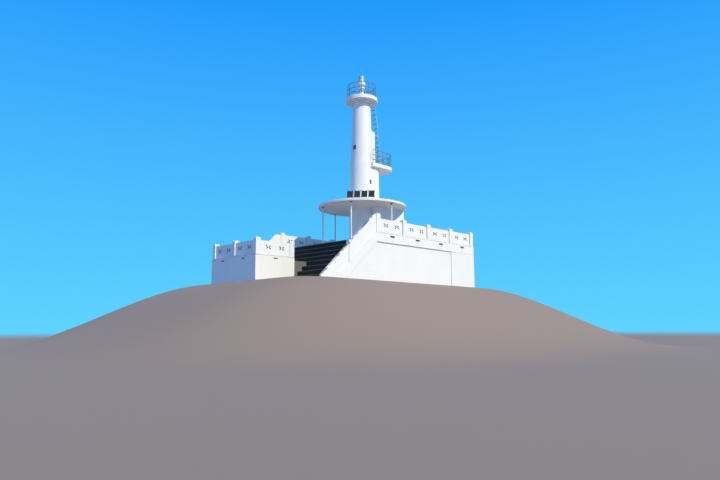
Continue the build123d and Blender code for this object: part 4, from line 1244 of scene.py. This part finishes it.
class LIGHTHOUSE_OT_ladder(bpy.types.Operator):
    """Make the ladder from the balcony to the gallery, with its brackets"""

    bl_idname = "lighthouse.ladder"
    bl_label = "Ladder"

    def execute(self, context):
        settings = context.scene.lighthouse_metalwork
        paint = painted_metal("stile_paint", settings.stile_paint, settings.rust, amount=0.12)
        dark = painted_metal("rung_paint", settings.rung_paint, settings.rust, amount=0.2)
        low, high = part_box("ladder")
        tube_radius = settings.stile_radius
        sizes = {
            "Foot": Vector((0, high.y - tube_radius, low.z)),
            "Top": Vector((0, low.y + tube_radius, high.z)),
            "Half width": high.x - tube_radius,
            "Stile radius": tube_radius,
            "Rung radius": settings.rung_radius,
            "Rungs": settings.rung_count,
            "First rung": settings.first_rung,
            "Pitch": settings.rung_pitch,
        }
        ladder = grow(mesh_object("ladder_tubes", [], []), ladder_tree(paint, dark), sizes)
        fasten(sharpen(ladder), "ladder_metal", "ladder")
        dress(self.bracket_paint(settings), "ladder_brackets")
        return {"FINISHED"}

    def bracket_paint(self, settings):
        """Orange primer on the lower bracket and dark paint on the upper one."""
        made, tree, shader, place = new_material("bracket_paint")
        low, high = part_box("ladder_brackets")
        upper = calc(tree, "GREATER_THAN", axes(tree, place)["Z"], (low.z + high.z) / 2)
        paint = blend_colours(tree, upper, settings.primer, settings.rung_paint)
        painted, mask, height = rust_over(tree, place, paint, settings.rust, amount=0.2, scale=9.0)
        surface(tree, shader, painted, 0.65, height)
        return made


class LIGHTHOUSE_OT_columns(bpy.types.Operator):
    """Paint the canopy's columns and bolt down their plates"""

    bl_idname = "lighthouse.columns"
    bl_label = "Columns"

    def execute(self, context):
        settings = context.scene.lighthouse_metalwork
        low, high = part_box("canopy_columns")
        dress(self.paint(settings, low.z, high.z), "canopy_columns")
        reach = (high.x - low.x) / 2 - settings.plate_inset
        plate_top = low.z + settings.foot_plate
        centres = [polar(reach, math.radians(angle), plate_top) for angle in COLUMN_ANGLES]
        steel = painted_metal("bolt_steel", settings.bolt_steel, settings.rust, amount=0.6, scale=14)
        sizes = {"Ring radius": settings.column_ring, "Bolts": 6, "Bolt radius": settings.column_bolt}
        bolts = grow(mesh_object("column_bolts", centres, []), bolt_ring_tree(steel), sizes)
        fasten(sharpen(bolts), "white_metal")
        return {"FINISHED"}

    def paint(self, settings, bottom, top):
        """Pale paint that turns to rust at the column's head and foot; the head is also painted near to black, a
        painted shade where it meets the canopy's soffit.
        """
        made, tree, shader, place = new_material("column_paint")
        height = axes(tree, place)["Z"]
        head = between(tree, height, top - 0.12, top - 0.02)
        foot = fading(tree, height, bottom + 0.02, bottom + 0.3)
        ends = calc(tree, "MAXIMUM", head, times(tree, foot, 0.5))
        amount = plus(tree, 0.12, ends)
        painted, mask, relief = rust_over(tree, place, settings.column_paint, settings.rust, amount=amount, scale=7.0)
        # Painted shade: the head goes near to black under the canopy's soffit.
        dark = blend_colours(tree, times(tree, head, 0.75), painted, (0.05, 0.05, 0.06, 1))
        surface(tree, shader, dark, varied(tree, 0.4, mask, 0.4), relief)
        return made


class LIGHTHOUSE_OT_lantern(bpy.types.Operator):
    """Make the pedestal, the housing with its cap, and the ribbed lens"""

    bl_idname = "lighthouse.lantern"
    bl_label = "Lantern"

    def execute(self, context):
        settings = context.scene.lighthouse_lantern
        metalwork = context.scene.lighthouse_metalwork
        metal = painted_metal("lantern_paint", settings.metal, metalwork.rust, amount=0.04, scale=9)
        dress(self.pedestal_paint(settings, metalwork), "lantern_pedestal")
        dress(metal, "lantern_housing")
        low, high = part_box("lantern_lens")
        radius = (high.x - low.x) / 2
        lens = self.lens(settings, radius, low.z, high.z)
        fasten(sharpen(lens, math.radians(20)), "lens", "lantern_lens")
        self.lamp(radius, low.z, high.z, metal)
        self.pedestal_fittings(settings, metalwork, metal)
        self.bands(settings, metal)
        return {"FINISHED"}

    def pedestal_paint(self, settings, metalwork):
        """White paint that has gone to primer and rust in a patch under the housing."""
        made, tree, shader, place = new_material("pedestal_paint")
        top = top_of("lantern_pedestal")
        height = axes(tree, place)["Z"]
        over = between(tree, height, top - 0.36, top - 0.28)
        under = fading(tree, height, top - 0.1, top - 0.04)
        some = between(tree, noise(tree, place, 5, 6, 0.65), 0.34, 0.46)
        patch = times(tree, times(tree, over, under), some)
        painted, mask, relief = rust_over(tree, place, settings.metal, metalwork.rust, amount=0.15, scale=8.0)
        patched = blend_colours(tree, patch, painted, settings.patch)
        surface(tree, shader, patched, varied(tree, 0.45, patch, 0.3), relief)
        return made

    def pedestal_fittings(self, settings, metalwork, metal):
        """The pedestal's foot bolts, and its hatch with two hinges."""
        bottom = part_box("lantern_pedestal")[0].z
        steel = painted_metal("flange_bolts", metalwork.bolt_steel, metalwork.rust, amount=0.5, scale=14)
        sizes = {"Ring radius": metalwork.pedestal_ring, "Bolts": 8, "Bolt radius": metalwork.pedestal_bolt}
        foot = mesh_object("pedestal_bolts", [(0, 0, bottom + metalwork.flange)], [])
        fasten(sharpen(grow(foot, bolt_ring_tree(steel), sizes)), "pedestal_metal")
        shaft = settings.shaft_radius
        start = settings.hatch_turn
        end = start + settings.hatch_angle
        low, high = bottom + settings.hatch_low, bottom + settings.hatch_high
        pieces = [curved_plate(shaft - 0.002, shaft + 0.01, start, end, low, high)]
        for level in (low + 0.04, high - 0.06):
            top = level + settings.hinge_height
            pieces.append(curved_plate(shaft + 0.005, shaft + 0.021, start - 0.1, start + 0.12, level, top))
        hatch = mesh_object("pedestal_hatch", *joined(pieces), metal)
        fasten(ease_edges(hatch, 0.002), "pedestal_metal")

    def bands(self, settings, metal):
        """Two bands round the housing."""
        low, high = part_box("lantern_housing")
        radius = (high.x - low.x) / 2
        inner, outer = radius - 0.002, radius + settings.band_depth
        rings = []
        for rise in (0.3, 0.42):
            level = low.z + rise
            top = level + settings.band_height
            rings.append(lathe([(inner, level), (outer, level), (outer, top), (inner, top), (inner, level)], 96))
        fasten(sharpen(mesh_object("housing_bands", *joined(rings), metal)), "housing_metal")

    def lens(self, settings, radius, low, high):
        """A hollow glass drum with stepped rings."""
        made, tree, shader, place = new_material("lens_glass")
        surface(tree, shader, settings.glass, varied(tree, 0.12, noise(tree, place, 12, 4), 0.15))
        shader.inputs["Transmission Weight"].default_value = 0.4
        shader.inputs["IOR"].default_value = 1.5
        pitch = (high - low) / settings.lens_ribs
        inner = radius * 0.8
        valley = radius - settings.rib_depth
        outline = [(inner, low), (valley, low)]
        for i in range(settings.lens_ribs):
            base = low + i * pitch
            outline += [(radius, base + pitch * 0.15), (radius, base + pitch * 0.6), (valley, base + pitch * 0.97)]
        outline += [(valley, high), (inner, high), (inner, low)]
        return mesh_object("lens_rings", *lathe(outline), made)

    def lamp(self, radius, low, high, metal):
        """The lamp changer inside the lens."""
        core = radius * 0.28
        foot, neck = core * 1.6, core * 0.7
        outline = [
            (0, low), (foot, low), (foot, low + 0.03), (neck, low + 0.05), (neck, low + 0.16), (core, low + 0.18),
            (core * 0.9, high - 0.16), (core * 0.4, high - 0.1), (0, high - 0.09),
        ]
        fasten(sharpen(mesh_object("lamp_core", *lathe(outline, 24), metal)), "housing_metal")


class LIGHTHOUSE_OT_solar(bpy.types.Operator):
    """Finish the solar panels and lay their cells"""

    bl_idname = "lighthouse.solar"
    bl_label = "Solar panels"

    def execute(self, context):
        settings = context.scene.lighthouse_solar
        cells = self.glass("solar_cells", settings.cell)
        dress(self.glass("solar_backing", settings.backing), "solar_panels")
        metal = painted_metal("panel_metal", settings.frame_metal, settings.rust, amount=0.15, scale=8)
        rim = painted_metal("panel_rim", settings.rim_metal, settings.rust, amount=0.1, scale=8)
        dress(metal, "panel_frames")
        spots = []
        turns = []
        for part in loose_parts("solar_panels"):
            facing = max(part, key=lambda face: (round(face.area, 3), face.normal.z)).normal
            low, high = extent([face for face in part if face.normal.dot(facing) > 0.99])
            across = Vector((0, 0, 1)).cross(facing).normalized()
            up = facing.cross(across)
            corners = [corner for face in part for corner in face.corners]
            width, reach = (
                max(c.dot(way) for c in corners) - min(c.dot(way) for c in corners) for way in (across, up)
            )
            spots.append((low + high) / 2)
            turns.append(tuple(Matrix((across, up, facing)).transposed().to_euler()))
        panels = mesh_object("solar_cells", spots, [])
        point_values(panels, "turn", "FLOAT_VECTOR", turns)
        sizes = {
            "Width": width,
            "Length": reach,
            "Columns": settings.columns,
            "Rows": settings.rows,
            "Gap": settings.gap,
            "Rim": settings.rim,
        }
        fasten(grow(panels, cell_tree(cells, rim), sizes), "solar_cell")
        return {"FINISHED"}

    def glass(self, name, tint):
        """Dull glass with a cloudy tint."""
        made, tree, shader, place = new_material(name)
        cloud = varied(tree, 0.75, noise(tree, place, 3, 6), 0.5)
        haze = varied(tree, 0.3, noise(tree, place, 4, 6), 0.25)
        surface(tree, shader, blend_colours(tree, 1.0, tint, cloud, "MULTIPLY"), haze, specular=0.12)
        return made


class LIGHTHOUSE_OT_doors(bpy.types.Operator):
    """Make the doors, and finish the window and the louvre"""

    bl_idname = "lighthouse.doors"
    bl_label = "Doors and window"

    def execute(self, context):
        settings = context.scene.lighthouse_doors
        rust = context.scene.lighthouse_metalwork.rust
        door = painted_metal("door_paint", settings.door_paint, rust, amount=0.15, scale=5)
        steel = painted_metal("door_fittings", settings.fittings, rust, amount=0.3, scale=14)
        for name, piece in (("room_door", "room_door_leaf"), ("balcony_door", "balcony_door_leaf")):
            low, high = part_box(name)
            leaf = mesh_object(piece, *self.leaf(settings, low, high), door)
            fasten(ease_edges(leaf, 0.003), "grey_door", name)
            fittings = mesh_object(piece[:-4] + "fittings", *self.fittings(settings, low, high), steel)
            fasten(ease_edges(fittings, 0.002), "grey_door")
        dress(painted_metal("window_trim", settings.trim_paint, rust, amount=0.2, scale=8), "window_frame", "louvre")
        self.surround(settings, rust)
        made, tree, shader, place = new_material("window_pane")
        haze = noise(tree, place, 9, 4)
        dusty = blend_colours(tree, times(tree, haze, 0.3), settings.pane, settings.dust)
        surface(tree, shader, dusty, varied(tree, 0.1, haze, 0.2))
        dress(made, "window_glass")
        return {"FINISHED"}

    def surround(self, settings, rust):
        """A grey metal frame round the louvre, bent to the tower."""
        low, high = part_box("louvre")
        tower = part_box("base_odd_segments")[1].x
        width = settings.louvre_frame
        half = high.y / tower
        end = half + width / tower
        parts = (
            (-end, end, high.z, high.z + width), (-end, end, low.z - width, low.z),
            (-end, -half, low.z, high.z), (half, end, low.z, high.z),
        )
        pieces = [curved_plate(tower - 0.01, tower + 0.008, *part) for part in parts]
        grey = painted_metal("louvre_surround", settings.surround_paint, rust, amount=0.1, scale=8)
        fasten(ease_edges(mesh_object("louvre_surround", *joined(pieces), grey), 0.002), "white_metal")

    def leaf(self, settings, low, high):
        """A leaf of stiles and rails about two sunk panels."""
        sink = settings.panel_sink
        stile = settings.stile_width
        left, right = low.x + stile, high.x - stile
        middle = low.z + (high.z - low.z) * 0.48
        rails = [(low.z, low.z + stile * 1.6), (middle - stile / 2, middle + stile / 2), (high.z - stile, high.z)]
        panels = [(rails[0][1], rails[1][0]), (rails[1][1], rails[2][0])]
        return joined([
            box_points(low, (left, high.y, high.z)),
            box_points((right, low.y, low.z), high),
            *(box_points((left, low.y, bottom), (right, high.y, top)) for bottom, top in rails),
            *(box_points((left, low.y + sink, bottom), (right, high.y - sink, top)) for bottom, top in panels),
        ])

    def fittings(self, settings, low, high):
        """A lever handle on its plate and three hinges, on the leaf's outer face."""
        face = high.y
        height = low.z + settings.handle_height
        middle = low.x + settings.stile_width / 2
        plate = face + 0.006
        lever = face + 0.04
        pieces = [
            box_points((middle - 0.02, face, height - 0.1), (middle + 0.02, plate, height + 0.1)),
            box_points((middle - 0.008, plate, height + 0.02), (middle + 0.008, lever, height + 0.036)),
            box_points((middle - 0.01, lever, height + 0.018), (middle + 0.12, lever + 0.012, height + 0.038)),
        ]
        pin = 0.009
        pin_x = high.x - 0.012
        for part in (0.12, 0.5, 0.88):
            level = low.z + (high.z - low.z) * part
            verts, faces = lathe([(0, level), (pin, level), (pin, level + 0.1), (0, level + 0.1)], 14)
            pieces.append(([(x + pin_x, y + face + 0.004, z) for x, y, z in verts], faces))
            pieces.append(box_points((high.x - 0.06, face, level + 0.01), (pin_x, face + 0.003, level + 0.09)))
        return joined(pieces)


class LIGHTHOUSE_PT_panel(bpy.types.Panel):
    bl_label = "Lighthouse"
    bl_idname = "LIGHTHOUSE_PT_panel"
    bl_space_type = "VIEW_3D"
    bl_region_type = "UI"
    bl_category = "Lighthouse"

    def draw(self, context):
        for operator in OPERATORS:
            self.layout.operator(operator.bl_idname)


SETTINGS = {
    "lighthouse_masonry": MasonrySettings,
    "lighthouse_metalwork": MetalworkSettings,
    "lighthouse_lantern": LanternSettings,
    "lighthouse_solar": SolarSettings,
    "lighthouse_doors": DoorSettings,
    "lighthouse_stage": StageSettings,
}
OPERATORS = (
    LIGHTHOUSE_OT_stage,
    LIGHTHOUSE_OT_masonry,
    LIGHTHOUSE_OT_steps,
    LIGHTHOUSE_OT_railings,
    LIGHTHOUSE_OT_ladder,
    LIGHTHOUSE_OT_columns,
    LIGHTHOUSE_OT_lantern,
    LIGHTHOUSE_OT_solar,
    LIGHTHOUSE_OT_doors,
)


def register():
    for group in SETTINGS.values():
        bpy.utils.register_class(group)
    for operator in OPERATORS:
        bpy.utils.register_class(operator)
    bpy.utils.register_class(LIGHTHOUSE_PT_panel)
    for name, group in SETTINGS.items():
        setattr(bpy.types.Scene, name, PointerProperty(type=group))


def unregister():
    for name in SETTINGS:
        delattr(bpy.types.Scene, name)
    bpy.utils.unregister_class(LIGHTHOUSE_PT_panel)
    for operator in reversed(OPERATORS):
        bpy.utils.unregister_class(operator)
    for group in reversed(SETTINGS.values()):
        bpy.utils.unregister_class(group)


def main():
    register()
    weathered_paint_group()
    rust_group()
    joints_group()
    for operator in OPERATORS:
        group, name = operator.bl_idname.split(".")
        getattr(getattr(bpy.ops, group), name)()


if __name__ == "__main__":
    main()
